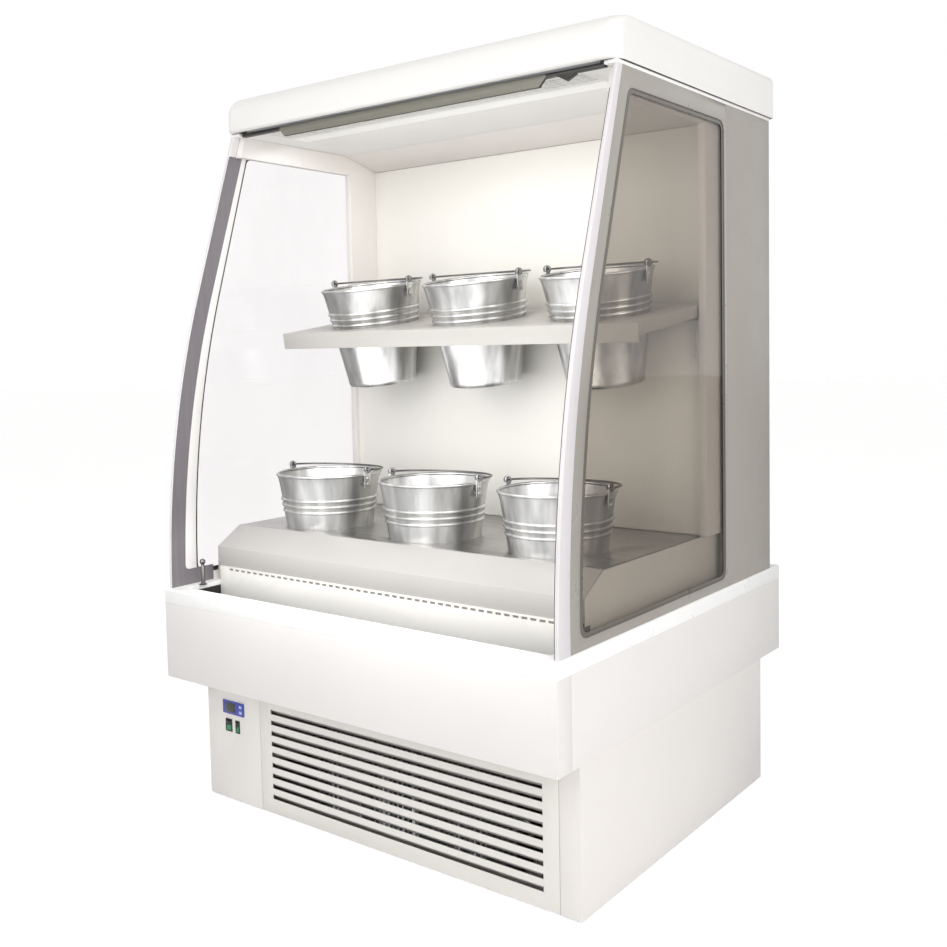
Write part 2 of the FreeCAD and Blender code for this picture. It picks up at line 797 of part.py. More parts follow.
def make_deck():
    front = nosing_top_back + 2 * sheet + seat
    half = panel_inner - sheet - slack
    back = lower_panel_back - slack
    plate = box(-half, half, front, back, deck_level - sheet, deck_level)
    low = deck_level - deck_hem
    sides = [box(half - sheet, half, front + deck_ledge, back, low, deck_level)]
    sides.append(mirrored(sides[0]))
    sides.append(box(-half, half, back - sheet, back, low, deck_level))
    holes = []
    radius = wall_radius(lower_bucket_rim_above_deck) + seat
    for i in (-1, 0, 1):
        x = i * bucket_spacing
        holes.append(cylinder(radius, (x, lower_bucket_back, deck_level - 2 * sheet),
                              (x, lower_bucket_back, deck_level + sheet)))
    return fused([plate] + sides).cut(Part.Compound(holes))


fan_plate_back = lower_panel_back - fan_plate_gap


def make_deck_supports():
    """Angle rails on legs that carry the deck's plate beside its side hems."""
    outer = panel_inner - 2 * sheet - 4 * slack
    inner = outer - support_arm
    top = deck_level - sheet - seat
    front = nosing_top_back + deck_ledge + slack
    back = fan_plate_back - slack
    rail = box(inner, outer, front, back, top - support_thickness, top)
    legs = []
    for y in (front, back - support_arm):
        legs.append(box(inner, inner + support_thickness, y, y + support_arm, basin_low, top))
    side = fused([rail] + legs)
    return Part.Compound([side, mirrored(side)])


# ---------------------------------------------------------------- shelf
shelf_half = panel_inner - sheet - 4 * slack


def make_shelf():
    front = shelf_front
    top = shelf_front_height
    back = front + shelf_depth
    plate = box(-shelf_half, shelf_half, front, back, top - sheet, top)
    nosing = box(-shelf_half, shelf_half, front, front + sheet, top - shelf_nosing, top)
    lip = box(-shelf_half, shelf_half, front, front + shelf_lip, top - shelf_nosing,
              top - shelf_nosing + sheet)
    side = box(shelf_half - sheet, shelf_half, front, back, top - shelf_hem, top)
    rear = box(-shelf_half, shelf_half, back - sheet, back, top - shelf_hem, top)
    holes = []
    radius = wall_radius(upper_bucket_rim_above_shelf) + seat
    for i in (-1, 0, 1):
        x = i * bucket_spacing
        y = front + upper_bucket_back_from_edge
        holes.append(cylinder(radius, (x, y, top - 2 * sheet), (x, y, top + sheet)))
    flat = fused([plate, nosing, lip, side, mirrored(side), rear]).cut(Part.Compound(holes))
    return tilted(flat, front, top, tilt)


def make_shelf_brackets():
    """Arms inside the shelf's side hems, each on a foot that is screwed to the pilaster."""
    outer = shelf_half - sheet - slack
    front = shelf_front + bracket_setback
    back = shelf_front + shelf_depth - sheet - slack
    top = shelf_front_height - sheet - seat
    arm = box(outer - sheet, outer, front, back, top - bracket_height, top)
    flange = box(outer - bracket_width, outer, front, back, top - sheet, top)
    slope = tilted(arm.fuse(flange), shelf_front, shelf_front_height, tilt)
    foot_front = pilaster_start + slack
    foot_back = lower_panel_back - slack
    rise = (foot_front - shelf_front) * math.tan(tilt)
    hem_low = shelf_front_height + rise - shelf_hem / math.cos(tilt)
    arm_low = shelf_front_height + rise - (bracket_height + sheet) / math.cos(tilt)
    foot_top = hem_low - 6 * slack
    web = box(outer - sheet, outer, foot_front, foot_back, foot_top - bracket_foot, arm_low + bracket_height / 2)
    foot = box(outer - sheet, panel_inner - sheet, foot_front, foot_back, foot_top - bracket_foot, foot_top)
    bracket = fused([slope, web, foot])
    return Part.Compound([bracket, mirrored(bracket)])


# ---------------------------------------------------------------- buckets
def upright_bucket():
    """A galvanised bucket with its rim's top at height 0, as it stands upright at the origin."""
    top = bucket_rim_radius
    low = bucket_base_radius
    height = bucket_height
    outer = Part.makeCone(low, top - bucket_roll, height, Vector(0, 0, -height), Vector(0, 0, 1))
    inner = Part.makeCone(low - bucket_wall, top - bucket_roll - bucket_wall, height - bucket_foot,
                          Vector(0, 0, -height + bucket_foot), Vector(0, 0, 1))
    lid = cylinder(top - bucket_roll - bucket_wall, (0, 0, -bucket_roll), (0, 0, slack))
    hollow = cylinder(low - 2 * bucket_wall, (0, 0, -height - slack), (0, 0, -height + bucket_foot - bucket_wall))
    shell = outer.cut(inner).cut(lid).cut(hollow)
    roll = Part.makeTorus(top - bucket_roll, bucket_roll, Vector(0, 0, -bucket_roll))
    pieces = [shell, roll]
    for i in range(bead_count):
        down = bead_first + i * bead_pitch
        radius = wall_radius(down)
        pieces.append(Part.makeTorus(radius, bead_proud, Vector(0, 0, -down)))
    body = fused(pieces)
    return fused([body.cut(inner).cut(lid), make_ear(1), make_ear(-1)])


def wall_radius(down):
    share = down / bucket_height
    return (bucket_rim_radius - bucket_roll) * (1 - share) + bucket_base_radius * share


ear_x = bucket_rim_radius - ear_sink
pin_height = bail_pin_rise


def make_ear(way):
    half = ear_width / 2
    plate = box(ear_x, ear_x + ear_thickness, -half, half, -ear_drop, ear_rise)
    top_edges = [e for e in plate.Edges if e.BoundBox.XLength > ear_thickness - 0.01]
    plate = plate.makeFillet(half * 0.8, [e for e in top_edges if e.BoundBox.ZMin > 0])
    hole = cylinder(bail_wire_radius + shaft_play, (ear_x - slack, 0, pin_height),
                    (ear_x + ear_thickness + slack, 0, pin_height))
    rivet_height = rivet_rise - ear_drop
    rivet = cylinder(rivet_radius, (wall_radius(-rivet_height) - bucket_wall / 2, 0, rivet_height),
                     (ear_x + ear_thickness + bucket_wall, 0, rivet_height))
    ear = fused([plate.cut(hole), rivet])
    return ear if way > 0 else mirrored(ear)


def upright_bail():
    """The wire bail, lying back on the rim; its pins lie along X."""
    side = ear_x + ear_thickness + bail_wire_radius + bail_ear_gap
    reach = bucket_rim_radius - bucket_roll
    arc_start = Vector(side, 0, 0)
    arc_middle = Vector(0, reach, 0)
    arc_end = Vector(-side, 0, 0)
    path = Part.Wire([Part.Arc(arc_start, arc_middle, arc_end).toShape()])
    start_direction = path.Edges[0].tangentAt(path.Edges[0].FirstParameter)
    ring = Part.Wire([Part.Circle(arc_start, start_direction, bail_wire_radius).toShape()])
    bow = path.makePipeShell([ring], True, False)
    pieces = [bow]
    for way in (1, -1):
        corner = Part.makeSphere(bail_wire_radius, Vector(way * side, 0, 0))
        pin = cylinder(bail_wire_radius, (way * side, 0, 0), (way * (ear_x - bail_tail), 0, 0))
        pieces += [corner, pin]
    bail = fused(pieces)
    drop = math.degrees(math.asin((bail_pin_rise - bail_wire_radius - seat) / reach))
    bail.rotate(Vector(0, 0, 0), Vector(1, 0, 0), -drop)
    bail.translate(Vector(0, 0, pin_height))
    return bail


def bucket_origins():
    """Rim centres of the upper and lower buckets, with their tilt."""
    places = []
    along = upper_bucket_back_from_edge
    up = upper_bucket_rim_above_shelf
    upper_back = shelf_front + along * math.cos(tilt) - up * math.sin(tilt)
    upper_height = shelf_front_height + along * math.sin(tilt) + up * math.cos(tilt)
    for i in (-1, 0, 1):
        places.append((i * bucket_spacing, upper_back, upper_height, tilt))
    for i in (-1, 0, 1):
        places.append((i * bucket_spacing, lower_bucket_back, lower_bucket_rim, 0.0))
    return places


def placed_at(shape, place):
    x, y, z, angle = place
    moved = shape.copy()
    moved.rotate(Vector(0, 0, 0), Vector(1, 0, 0), math.degrees(angle))
    moved.translate(Vector(x, y, z))
    return moved


# ---------------------------------------------------------------- ceiling, canopy, lamp and blind
def make_ceiling():
    front = front_back(side_top)
    slab = box(-panel_outer, panel_outer, front, rear_face, side_top, ceiling_top)
    duct = box(-duct_half, duct_half, upper_panel_back + 3 * sheet,
               rear_inner - 3 * sheet, side_top - slack, ceiling_top + slack)
    slot_half = blind_half + blind_slot_gap
    slot = box(-slot_half, slot_half, canopy_front, blind_back + blind_bar_depth / 2 + blind_slot_gap,
               side_top - slack, ceiling_top + slack)
    lamp_hole = box(-lamp_length / 2 - seat, lamp_length / 2 + seat, lamp_start - seat,
                    lamp_start + lamp_width + seat, side_top - slack, ceiling_top + slack)
    cells = []
    cell_pitch_x = lamp_length / outlet_columns
    cell_pitch_y = outlet_depth / outlet_rows
    for row in range(outlet_rows):
        for column in range(outlet_columns):
            x = (column - (outlet_columns - 1) / 2) * cell_pitch_x
            y = outlet_start + (row + 0.5) * cell_pitch_y
            cells.append(box(x - cell_pitch_x / 2 + outlet_bar / 2, x + cell_pitch_x / 2 - outlet_bar / 2,
                             y - outlet_cell / 2, y + outlet_cell / 2, side_top - slack, ceiling_top + slack))
    slab = slab.cut(Part.Compound([duct, slot, lamp_hole] + cells))
    return fused([slab] + make_roller_cheeks())


blind_half = panel_inner - blind_side_gap


def canopy_form(inset, floor):
    """The canopy's outer form, or with an inset the space inside it."""
    front = canopy_front + inset
    back = rear_face + canopy_rear_overhang - inset
    half = half_width + canopy_overhang - inset
    top = canopy_top - inset
    top_front = top - canopy_front_drop
    nose = canopy_nose_radius - inset
    lip = max(canopy_lip_radius - inset, 1.0)
    quarter = math.sqrt(0.5)
    points = {
        "lip_back": Vector(-half, front + lip, floor),
        "lip_mid": Vector(-half, front + lip * (1 - quarter), floor + lip * (1 - quarter)),
        "lip_front": Vector(-half, front, floor + lip),
        "nose_low": Vector(-half, front, top_front - nose),
        "nose_mid": Vector(-half, front + nose * (1 - quarter), top_front - nose * (1 - quarter)),
        "nose_top": Vector(-half, front + nose, top_front),
        "top_back": Vector(-half, back, top),
        "low_back": Vector(-half, back, floor),
    }
    edges = [
        Part.Arc(points["lip_back"], points["lip_mid"], points["lip_front"]).toShape(),
        Part.LineSegment(points["lip_front"], points["nose_low"]).toShape(),
        Part.Arc(points["nose_low"], points["nose_mid"], points["nose_top"]).toShape(),
        Part.LineSegment(points["nose_top"], points["top_back"]).toShape(),
        Part.LineSegment(points["top_back"], points["low_back"]).toShape(),
        Part.LineSegment(points["low_back"], points["lip_back"]).toShape(),
    ]
    profile = face_of(edges).extrude(Vector(2 * half, 0, 0))
    plan = box(-half, half, front, back, floor - slack, top + slack)
    radius = canopy_corner - inset
    corners = [e for e in plan.Edges if e.BoundBox.ZLength > canopy_height / 2 and e.BoundBox.YMax < front + 1]
    plan = plan.makeFillet(radius, corners)
    return profile.common(plan)


def make_canopy():
    outer = canopy_form(0, ceiling_top)
    inner = canopy_form(canopy_wall, ceiling_top - canopy_wall)
    shell = outer.cut(inner)
    return shell


def make_canopy_fixings():
    """Blocks inside the canopy that screw it to the ceiling panel."""
    blocks = []
    size = 30.0
    inside = half_width + canopy_overhang - canopy_wall
    first = canopy_front + fixing_inset
    last = rear_face - fixing_inset
    for back in (first, (first + last) / 2, last):
        blocks.append(box(inside - size, inside, back, back + size, ceiling_top, ceiling_top + size))
    blocks += [mirrored(b) for b in blocks]
    return blocks


def make_lamp():
    body = box(-lamp_length / 2, lamp_length / 2, lamp_start, lamp_start + lamp_width, side_top,
               side_top + lamp_depth)
    flange = box(-lamp_length / 2 - lamp_flange, lamp_length / 2 + lamp_flange, lamp_start - lamp_flange,
                 lamp_start + lamp_width + lamp_flange, ceiling_top, ceiling_top + sheet)
    return body.fuse(flange)


roll_back = blind_back + blind_roll_radius
roll_height = ceiling_top + blind_roll_rise


def make_blind_roll():
    half = blind_half - blind_end_gap
    tube = cylinder(blind_roll_radius, (-half, roll_back, roll_height), (half, roll_back, roll_height))
    bore = cylinder(blind_tube_radius - sheet, (-half - slack, roll_back, roll_height),
                    (half + slack, roll_back, roll_height))
    return tube.cut(bore)


def make_roller_cheeks():
    """Cheeks that stand on the ceiling with a plug for each end of the roller tube."""
    half = blind_half - blind_end_gap + slack
    front = blind_back + blind_bar_depth / 2 + blind_slot_gap
    cheek = box(half, half + support_thickness, front, roll_back + blind_roll_radius, side_top,
                roll_height + blind_roll_radius)
    plug = cylinder(blind_tube_radius - sheet - shaft_play, (half - blind_plug_length, roll_back, roll_height),
                    (half + sheet, roll_back, roll_height))
    return [cheek, plug, mirrored(cheek), mirrored(plug)]


bar_top = ceiling_top - slack


def make_blind_bar():
    front = blind_back - blind_bar_depth / 2
    back = blind_back + blind_bar_depth / 2
    top = bar_top
    rod = box(-blind_half, blind_half, front, back, top - blind_bar_height, top)
    low = top - blind_grip_height
    slope = blind_grip_height - blind_bar_height
    outline = [(-blind_grip_half, top), (-blind_grip_half, top - blind_bar_height),
               (-blind_grip_half + slope, low), (blind_grip_half - slope, low),
               (blind_grip_half, top - blind_bar_height), (blind_grip_half, top)]
    face = polygon_face([Vector(x, front - slack, z) for x, z in outline])
    grip = face.extrude(Vector(0, blind_bar_depth / 2 + slack, 0))
    bead = 4.0
    bead_back = back - bead
    finger = cylinder(bead, (-blind_grip_half + slope, bead_back, low + bead + slack),
                      (blind_grip_half - slope, bead_back, low + bead + slack))
    web = box(-blind_grip_half + slope, blind_grip_half - slope, front, bead_back, low + slack, low + bead)
    latch_start = blind_grip_half + blind_latch_start
    latch_low = top - blind_latch_height
    latch_middle = latch_start + blind_latch_width / 2
    latch_outline = [(latch_start, top), (latch_start, top - blind_bar_height),
                     (latch_middle, latch_low),
                     (latch_start + blind_latch_width, top - blind_latch_height / 2),
                     (latch_start + blind_latch_width, top)]
    latch_face = polygon_face([Vector(x, front, z) for x, z in latch_outline])
    latch = latch_face.extrude(Vector(0, blind_bar_depth, 0))
    return fused([rod, grip, finger, web, latch])


def make_blind_fabric():
    top = roll_height
    low = bar_top + seat
    half = blind_half - 2 * blind_end_gap
    back = blind_back - blind_fabric_thickness / 2 - seat
    return box(-half, half, back - blind_fabric_thickness, back, low, top)


def make_blind_hooks():
    """Pegs with round heads on the rail, one at each end, that hold the pulled-down bar."""
    x = ledge_inner - hook_head_radius
    foot_half = 2 * hook_radius
    head_height = rail_top + hook_height - hook_head_radius
    foot = box(x - foot_half, ledge_inner + inner_ledge - seat, hook_back - foot_half, hook_back + foot_half,
               rail_top, rail_top + sheet)
    peg = cylinder(hook_radius, (x, hook_back, rail_top), (x, hook_back, head_height))
    head = Part.makeSphere(hook_head_radius, Vector(x, hook_back, head_height))
    piece = fused([foot, peg, head])
    return Part.Compound([piece, mirrored(piece)])


# ---------------------------------------------------------------- refrigeration
grille_middle = (grille_left + grille_right) / 2
machine_floor = base_bottom + sheet
condenser_back = base_front + condenser_setback
compressor_x = base_half - compressor_from_side
compressor_back = base_rear - compressor_from_rear
condenser_low = machine_floor + condenser_lift
condenser_axis = condenser_low + condenser_height / 2


def fin_pack(x0, x1, y0, y1, z0, z1):
    core = box(x0, x1, y0, y1, z0, z1)
    gaps = []
    end = 4.0
    count = int((x1 - x0 - fin_gap) / fin_pitch)
    first = (x0 + x1) / 2 - (count - 1) * fin_pitch / 2
    for i in range(count):
        x = first + i * fin_pitch
        gaps.append(box(x - fin_gap / 2, x + fin_gap / 2, y0 - slack, y0 + fin_cut, z0 + end, z1 - end))
        gaps.append(box(x - fin_gap / 2, x + fin_gap / 2, y1 - fin_cut, y1 + slack, z0 + end, z1 - end))
    return core.cut(Part.Compound(gaps))


def row_heights(low, height):
    pitch = height / (coil_rows + 1)
    return [low + pitch * (i + 1) for i in range(coil_rows)]


def return_bends(x, way, y, heights):
    """Half-turn tube bends at the end of a fin pack, joining neighbouring rows."""
    bends = []
    stub = 6.0
    for low, high in zip(heights[::2], heights[1::2]):
        radius = (high - low) / 2
        centre = Vector(x + way * stub, y, (low + high) / 2)
        start = Vector(x + way * stub, y, low)
        end = Vector(x + way * stub, y, high)
        middle = centre + Vector(way * radius, 0, 0)
        edges = [Part.LineSegment(Vector(x - way * stub, y, low), start).toShape(),
                 Part.Arc(start, middle, end).toShape(),
                 Part.LineSegment(end, Vector(x - way * stub, y, high)).toShape()]
        path = Part.Wire(edges)
        ring = Part.Wire([Part.Circle(edges[0].Vertexes[0].Point, Vector(way, 0, 0), tube_radius).toShape()])
        bends.append(path.makePipeShell([ring], True, False))
    return bends


def make_condenser():
    x0 = grille_middle - condenser_width / 2
    x1 = grille_middle + condenser_width / 2
    y0 = condenser_back
    y1 = y0 + condenser_depth
    pack = fin_pack(x0, x1, y0, y1, condenser_low, condenser_low + condenser_height)
    heights = row_heights(condenser_low, condenser_height)
    bends = return_bends(x0, -1, (y0 + y1) / 2, heights) + return_bends(x1, 1, (y0 + y1) / 2, heights[1:-1])
    foot = 20.0
    feet = [box(x, x + foot, y0, y1, machine_floor, condenser_low + sheet) for x in (x0 + foot, x1 - 2 * foot)]
    return fused([pack] + bends + feet)


shroud_front = condenser_back + condenser_depth + seat
shroud_plate = shroud_front + shroud_depth


def make_shroud():
    x0 = grille_middle - condenser_width / 2
    x1 = grille_middle + condenser_width / 2
    low = condenser_low
    high = condenser_low + condenser_height
    outer = box(x0, x1, shroud_front, shroud_plate + sheet, low, high)
    inner = box(x0 + sheet, x1 - sheet, shroud_front - slack, shroud_plate, low + sheet, high - sheet)
    mouth = cylinder(fan_radius + fan_tip_gap, (grille_middle, shroud_plate - slack, condenser_axis),
                     (grille_middle, shroud_plate + 2 * sheet, condenser_axis))
    stand = box(x0 + shroud_depth, x1 - shroud_depth, shroud_plate, shroud_plate + sheet, machine_floor, low + sheet)
    return fused([outer.cut(inner).cut(mouth), stand] + motor_spider(grille_middle, condenser_axis,
                                                                      shroud_plate + sheet, fan_radius))


def motor_spider(x, z, plate, radius):
    """Four legs and bars that hold a fan motor behind its fan."""
    bar = 8.0
    thick = 3.0
    reach = radius + fan_tip_gap + bar
    back = plate + motor_offset
    pieces = []
    for angle in (45.0, 135.0, 225.0, 315.0):
        leg = box(reach - bar, reach, plate - seat, back, -bar / 2, bar / 2)
        strip = box(motor_radius * motor_grip, reach, back - thick, back, -bar / 2, bar / 2)
        piece = leg.fuse(strip)
        piece.rotate(Vector(0, 0, 0), Vector(0, 1, 0), angle)
        piece.translate(Vector(x, 0, z))
        pieces.append(piece)
    return pieces


motor_offset = fan_hub_length + fan_clear + 10.0
motor_grip = 0.7             # where a bar ends on the motor's face, as a share of its radius


def motor_at(x, z, plate):
    back = plate + motor_offset
    cap_height = 8.0
    can = cylinder(motor_radius, (x, back, z), (x, back + motor_length, z))
    cap = cylinder(motor_radius / 2, (x, back - cap_height, z), (x, back, z))
    shaft = cylinder(shaft_radius, (x, plate + fan_clear, z), (x, back, z))
    return fused([can, cap, shaft])


def fan_at(x, z, plate, radius):
    start = plate + fan_clear
    hub = cylinder(fan_hub_radius, (0, start, 0), (0, start + fan_hub_length, 0))
    bore = cylinder(shaft_radius + shaft_play, (0, start - slack, 0), (0, start + fan_hub_length + slack, 0))
    middle = start + fan_hub_length / 2
    chord = (fan_hub_length - 2 * slack) / math.sin(math.radians(fan_pitch_angle))
    half_blade = 0.9
    root = 3.0
    blades = []
    for i in range(fan_blades):
        blade = box(fan_hub_radius - root, radius, middle - half_blade, middle + half_blade, -chord / 2, chord / 2)
        blade.rotate(Vector(0, middle, 0), Vector(1, 0, 0), fan_pitch_angle)
        blade.rotate(Vector(0, 0, 0), Vector(0, 1, 0), 360.0 / fan_blades * i)
        blades.append(blade)
    trim = cylinder(radius, (0, start - chord, 0), (0, start + fan_hub_length + chord, 0))
    body = fused([hub] + blades).common(trim).cut(bore)
    body.translate(Vector(x, 0, z))
    return body


evaporator_fan_z = (basin_low + deck_level) / 2


def make_fan_plate():
    half = basin_inner - slack
    top = deck_level - sheet - 4 * seat
    plate = box(-half, half, fan_plate_back, fan_plate_back + sheet, basin_low, top)
    foot = box(-half, half, fan_plate_back, fan_plate_back + inner_flange, basin_low, basin_low + sheet)
    mouths = []
    for x in (-evaporator_fan_x, evaporator_fan_x):
        mouths.append(cylinder(evaporator_fan_radius + fan_tip_gap, (x, fan_plate_back - slack, evaporator_fan_z),
                               (x, fan_plate_back + 2 * sheet, evaporator_fan_z)))
    pieces = [plate.fuse(foot).cut(Part.Compound(mouths))]
    for x in (-evaporator_fan_x, evaporator_fan_x):
        pieces += motor_spider(x, evaporator_fan_z, fan_plate_back + sheet, evaporator_fan_radius)
    return fused(pieces)


def make_fan_motors():
    motors = [motor_at(grille_middle, condenser_axis, shroud_plate + sheet)]
    for x in (-evaporator_fan_x, evaporator_fan_x):
        motors.append(motor_at(x, evaporator_fan_z, fan_plate_back + sheet))
    return Part.Compound(motors)


evaporator_low = deck_level + evaporator_lift
evaporator_back = lower_panel_back + evaporator_gap


def make_evaporator():
    half = evaporator_width / 2
    y0 = evaporator_back
    y1 = y0 + evaporator_depth
    pack = fin_pack(-half, half, y0, y1, evaporator_low, evaporator_low + evaporator_height)
    heights = row_heights(evaporator_low, evaporator_height)
    bends = return_bends(-half, -1, (y0 + y1) / 2, heights) + return_bends(half, 1, (y0 + y1) / 2, heights[1:-1])
    width = 30.0
    low = evaporator_low + width
    brackets = [box(x, x + width, y1, rear_inner, low, low + width) for x in (-half + 2 * width, half - 3 * width)]
    return fused([pack] + bends + brackets)


def make_compressor():
    x = compressor_x
    y = compressor_back
    low = machine_floor + mount_height
    radius = compressor_radius
    plate_reach = radius + 20.0
    plate_top = low + 2 * sheet
    shoulder = 40.0
    seam_low = low + compressor_height / 2
    seam_height = 6.0
    seam_proud = 3.0
    terminal_half = 28.0
    terminal_depth = 26.0
    terminal_low = low + 40.0
    terminal_height = 60.0
    plate = box(x - plate_reach, x + plate_reach, y - radius, y + radius, low, plate_top)
    can = cylinder(radius, (x, y, plate_top), (x, y, low + compressor_height))
    can = can.makeFillet(shoulder, [e for e in can.Edges if e.BoundBox.ZMin > low + compressor_height - slack])
    seam = cylinder(radius + seam_proud, (x, y, seam_low), (x, y, seam_low + seam_height))
    terminal = box(x - terminal_half, x + terminal_half, y - radius - terminal_depth, y - radius / 2,
                   terminal_low, terminal_low + terminal_height)
    return fused([plate, can, seam, terminal])


def mount_places():
    reach_x = compressor_radius + 10.0
    reach_y = compressor_radius - 14.0
    return [(compressor_x + sx * reach_x, compressor_back + sy * reach_y) for sx in (-1, 1) for sy in (-1, 1)]


def make_compressor_mounts():
    mounts = []
    radius = 12.0
    neck_radius = 8.0
    neck_low = machine_floor + mount_height * 0.4
    neck_high = machine_floor + mount_height * 0.6
    for x, y in mount_places():
        low = cylinder(radius, (x, y, machine_floor), (x, y, neck_low))
        neck = cylinder(neck_radius, (x, y, neck_low), (x, y, neck_high))
        high = cylinder(radius, (x, y, neck_high), (x, y, machine_floor + mount_height))
        mounts.append(fused([low, neck, high]))
    return Part.Compound(mounts)


def make_pipes():
    """Discharge, suction and liquid lines; the liquid line carries the filter drier."""
    x = compressor_x
    y = compressor_back
    side = x + compressor_radius + 3 * pipe_bend
    port = machine_floor + mount_height + compressor_height / 2 + pipe_bend
    condenser_rows = row_heights(condenser_low, condenser_height)
    condenser_end = grille_middle + condenser_width / 2
    condenser_middle = condenser_back + condenser_depth / 2
    evaporator_rows = row_heights(evaporator_low, evaporator_height)
    evaporator_end = evaporator_width / 2
    evaporator_middle = evaporator_back + evaporator_depth / 2
    liquid_back = pipe_back - pipe_spacing
    lines = [
        [Vector(x, y, port), Vector(side, y, port), Vector(side, y, condenser_rows[-1]),
         Vector(side, condenser_middle, condenser_rows[-1]),
         Vector(condenser_end, condenser_middle, condenser_rows[-1])],
        [Vector(evaporator_end, evaporator_middle, evaporator_rows[-1]),
         Vector(suction_x, evaporator_middle, evaporator_rows[-1]),
         Vector(suction_x, pipe_back, evaporator_rows[-1]), Vector(suction_x, pipe_back, port),
         Vector(x, pipe_back, port), Vector(x, y, port)],
        [Vector(condenser_end, condenser_middle, condenser_rows[0]),
         Vector(liquid_x, condenser_middle, condenser_rows[0]), Vector(liquid_x, liquid_back, condenser_rows[0]),
         Vector(liquid_x, liquid_back, evaporator_rows[0]),
         Vector(liquid_x, evaporator_middle, evaporator_rows[0]),
         Vector(evaporator_end, evaporator_middle, evaporator_rows[0])],
    ]
    tubes = [bent_tube(points, pipe_radius, pipe_bend) for points in lines]
    can = cylinder(compressor_radius, (x, y, machine_floor), (x, y, machine_floor + mount_height + compressor_height))
    drier = cylinder(drier_radius, (liquid_x, y - drier_length / 2, condenser_rows[0]),
                     (liquid_x, y + drier_length / 2, condenser_rows[0]))
    return Part.Compound([tubes[0].cut(can), tubes[1].cut(can), fused([tubes[2], drier])])


def make_condensate_pan():
    x0 = compressor_x - compressor_radius - 2 * pan_gap - pan_width
    y1 = chassis_back - sheet - pan_gap
    outer = box(x0, x0 + pan_width, y1 - pan_depth, y1, machine_floor, machine_floor + pan_height)
    inner = box(x0 + sheet, x0 + pan_width - sheet, y1 - pan_depth + sheet, y1 - sheet, machine_floor + sheet,
                machine_floor + pan_height + slack)
    return outer.cut(inner)


def make_electrical_box():
    y1 = base_rear - sheet
    x0 = gland_x - box_width / 2
    low = gland_height + 30.0
    nut_radius = gland_radius + 5.0
    nut_length = 14.0
    neck_start = y1 - 18.0
    bore_radius = 4.0
    tail_half = 6.0
    outer = box(x0, x0 + box_width, y1 - box_depth, y1, low, low + box_height)
    neck = cylinder(gland_radius - seat, (gland_x, neck_start, gland_height), (gland_x, base_rear + sheet, gland_height))
    nut = cylinder(nut_radius, (gland_x, base_rear, gland_height), (gland_x, base_rear + nut_length, gland_height))
    inside_nut = cylinder(nut_radius, (gland_x, neck_start, gland_height), (gland_x, y1, gland_height))
    tail = box(gland_x - tail_half, gland_x + tail_half, neck_start + sheet, y1 - 2 * sheet, gland_height, low + sheet)
    bore = cylinder(bore_radius, (gland_x, base_rear - nut_length + 2 * sheet, gland_height),
                    (gland_x, base_rear + nut_length + slack, gland_height))
    return fused([outer, neck, nut, inside_nut, tail]).cut(bore)


# ---------------------------------------------------------------- write the nodes
save("levelling_feet", make_feet())
save("base_chassis", make_chassis())
save("base_shell", make_base_shell())
save("control_panel", make_control_panel())
save("grille_panel", make_grille_panel())
save("controller", make_controller())
key_up, key_down = key_places()
save("key_up", make_key(key_up))
save("key_down", make_key(key_down))
save("rocker_frames", make_rocker_frames())
save("rocker_power", make_rocker(power_x))
save("rocker_light", make_rocker(light_x))
save("basin", make_basin())
save("belt_front", make_belt_front())
save("belt_sides", make_belt_sides())
save("belt_rail", make_rail())
save("side_posts", make_side_posts())
save("side_frames", make_side_frames())
save("side_glass", make_side_glass())
save("rear_body", make_rear_body())
save("inner_trims", make_inner_trims())
save("lower_back_panel", make_lower_back_panel())
save("upper_back_panel", make_upper_back_panel())
save("riser", make_riser())
save("deck_nosing", make_nosing())
save("deck", make_deck())
save("deck_supports", make_deck_supports())
save("shelf", make_shelf())
save("shelf_brackets", make_shelf_brackets())
save("ceiling", make_ceiling())
save("canopy", fused([make_canopy()] + make_canopy_fixings()))
save("lamp", make_lamp())
save("blind_roll", make_blind_roll())
save("blind_bar", make_blind_bar())
save("blind_fabric", make_blind_fabric())
save("blind_hooks", make_blind_hooks())
save("condenser_coil", make_condenser())
save("condenser_shroud", make_shroud())
save("fan_motors", make_fan_motors())
save("condenser_fan", fan_at(grille_middle, condenser_axis, shroud_plate + sheet, fan_radius))
save("fan_plate", make_fan_plate())
save("evaporator_fan_left", fan_at(-evaporator_fan_x, evaporator_fan_z, fan_plate_back + sheet,
                                   evaporator_fan_radius))
save("evaporator_fan_right", fan_at(evaporator_fan_x, evaporator_fan_z, fan_plate_back + sheet,
                                    evaporator_fan_radius))
save("evaporator_coil", make_evaporator())
save("compressor", make_compressor())
save("compressor_mounts", make_compressor_mounts())
save("refrigerant_pipes", make_pipes())
save("condensate_pan", make_condensate_pan())
save("electrical_box", make_electrical_box())

bucket = upright_bucket()
bail = upright_bail()
for number, place in enumerate(bucket_origins(), 1):
    save("bucket_%d" % number, placed_at(bucket, place))
    save("bail_%d" % number, placed_at(bail, place))
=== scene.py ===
import json
import math
import bmesh
import bpy
from mathutils import Matrix, Vector

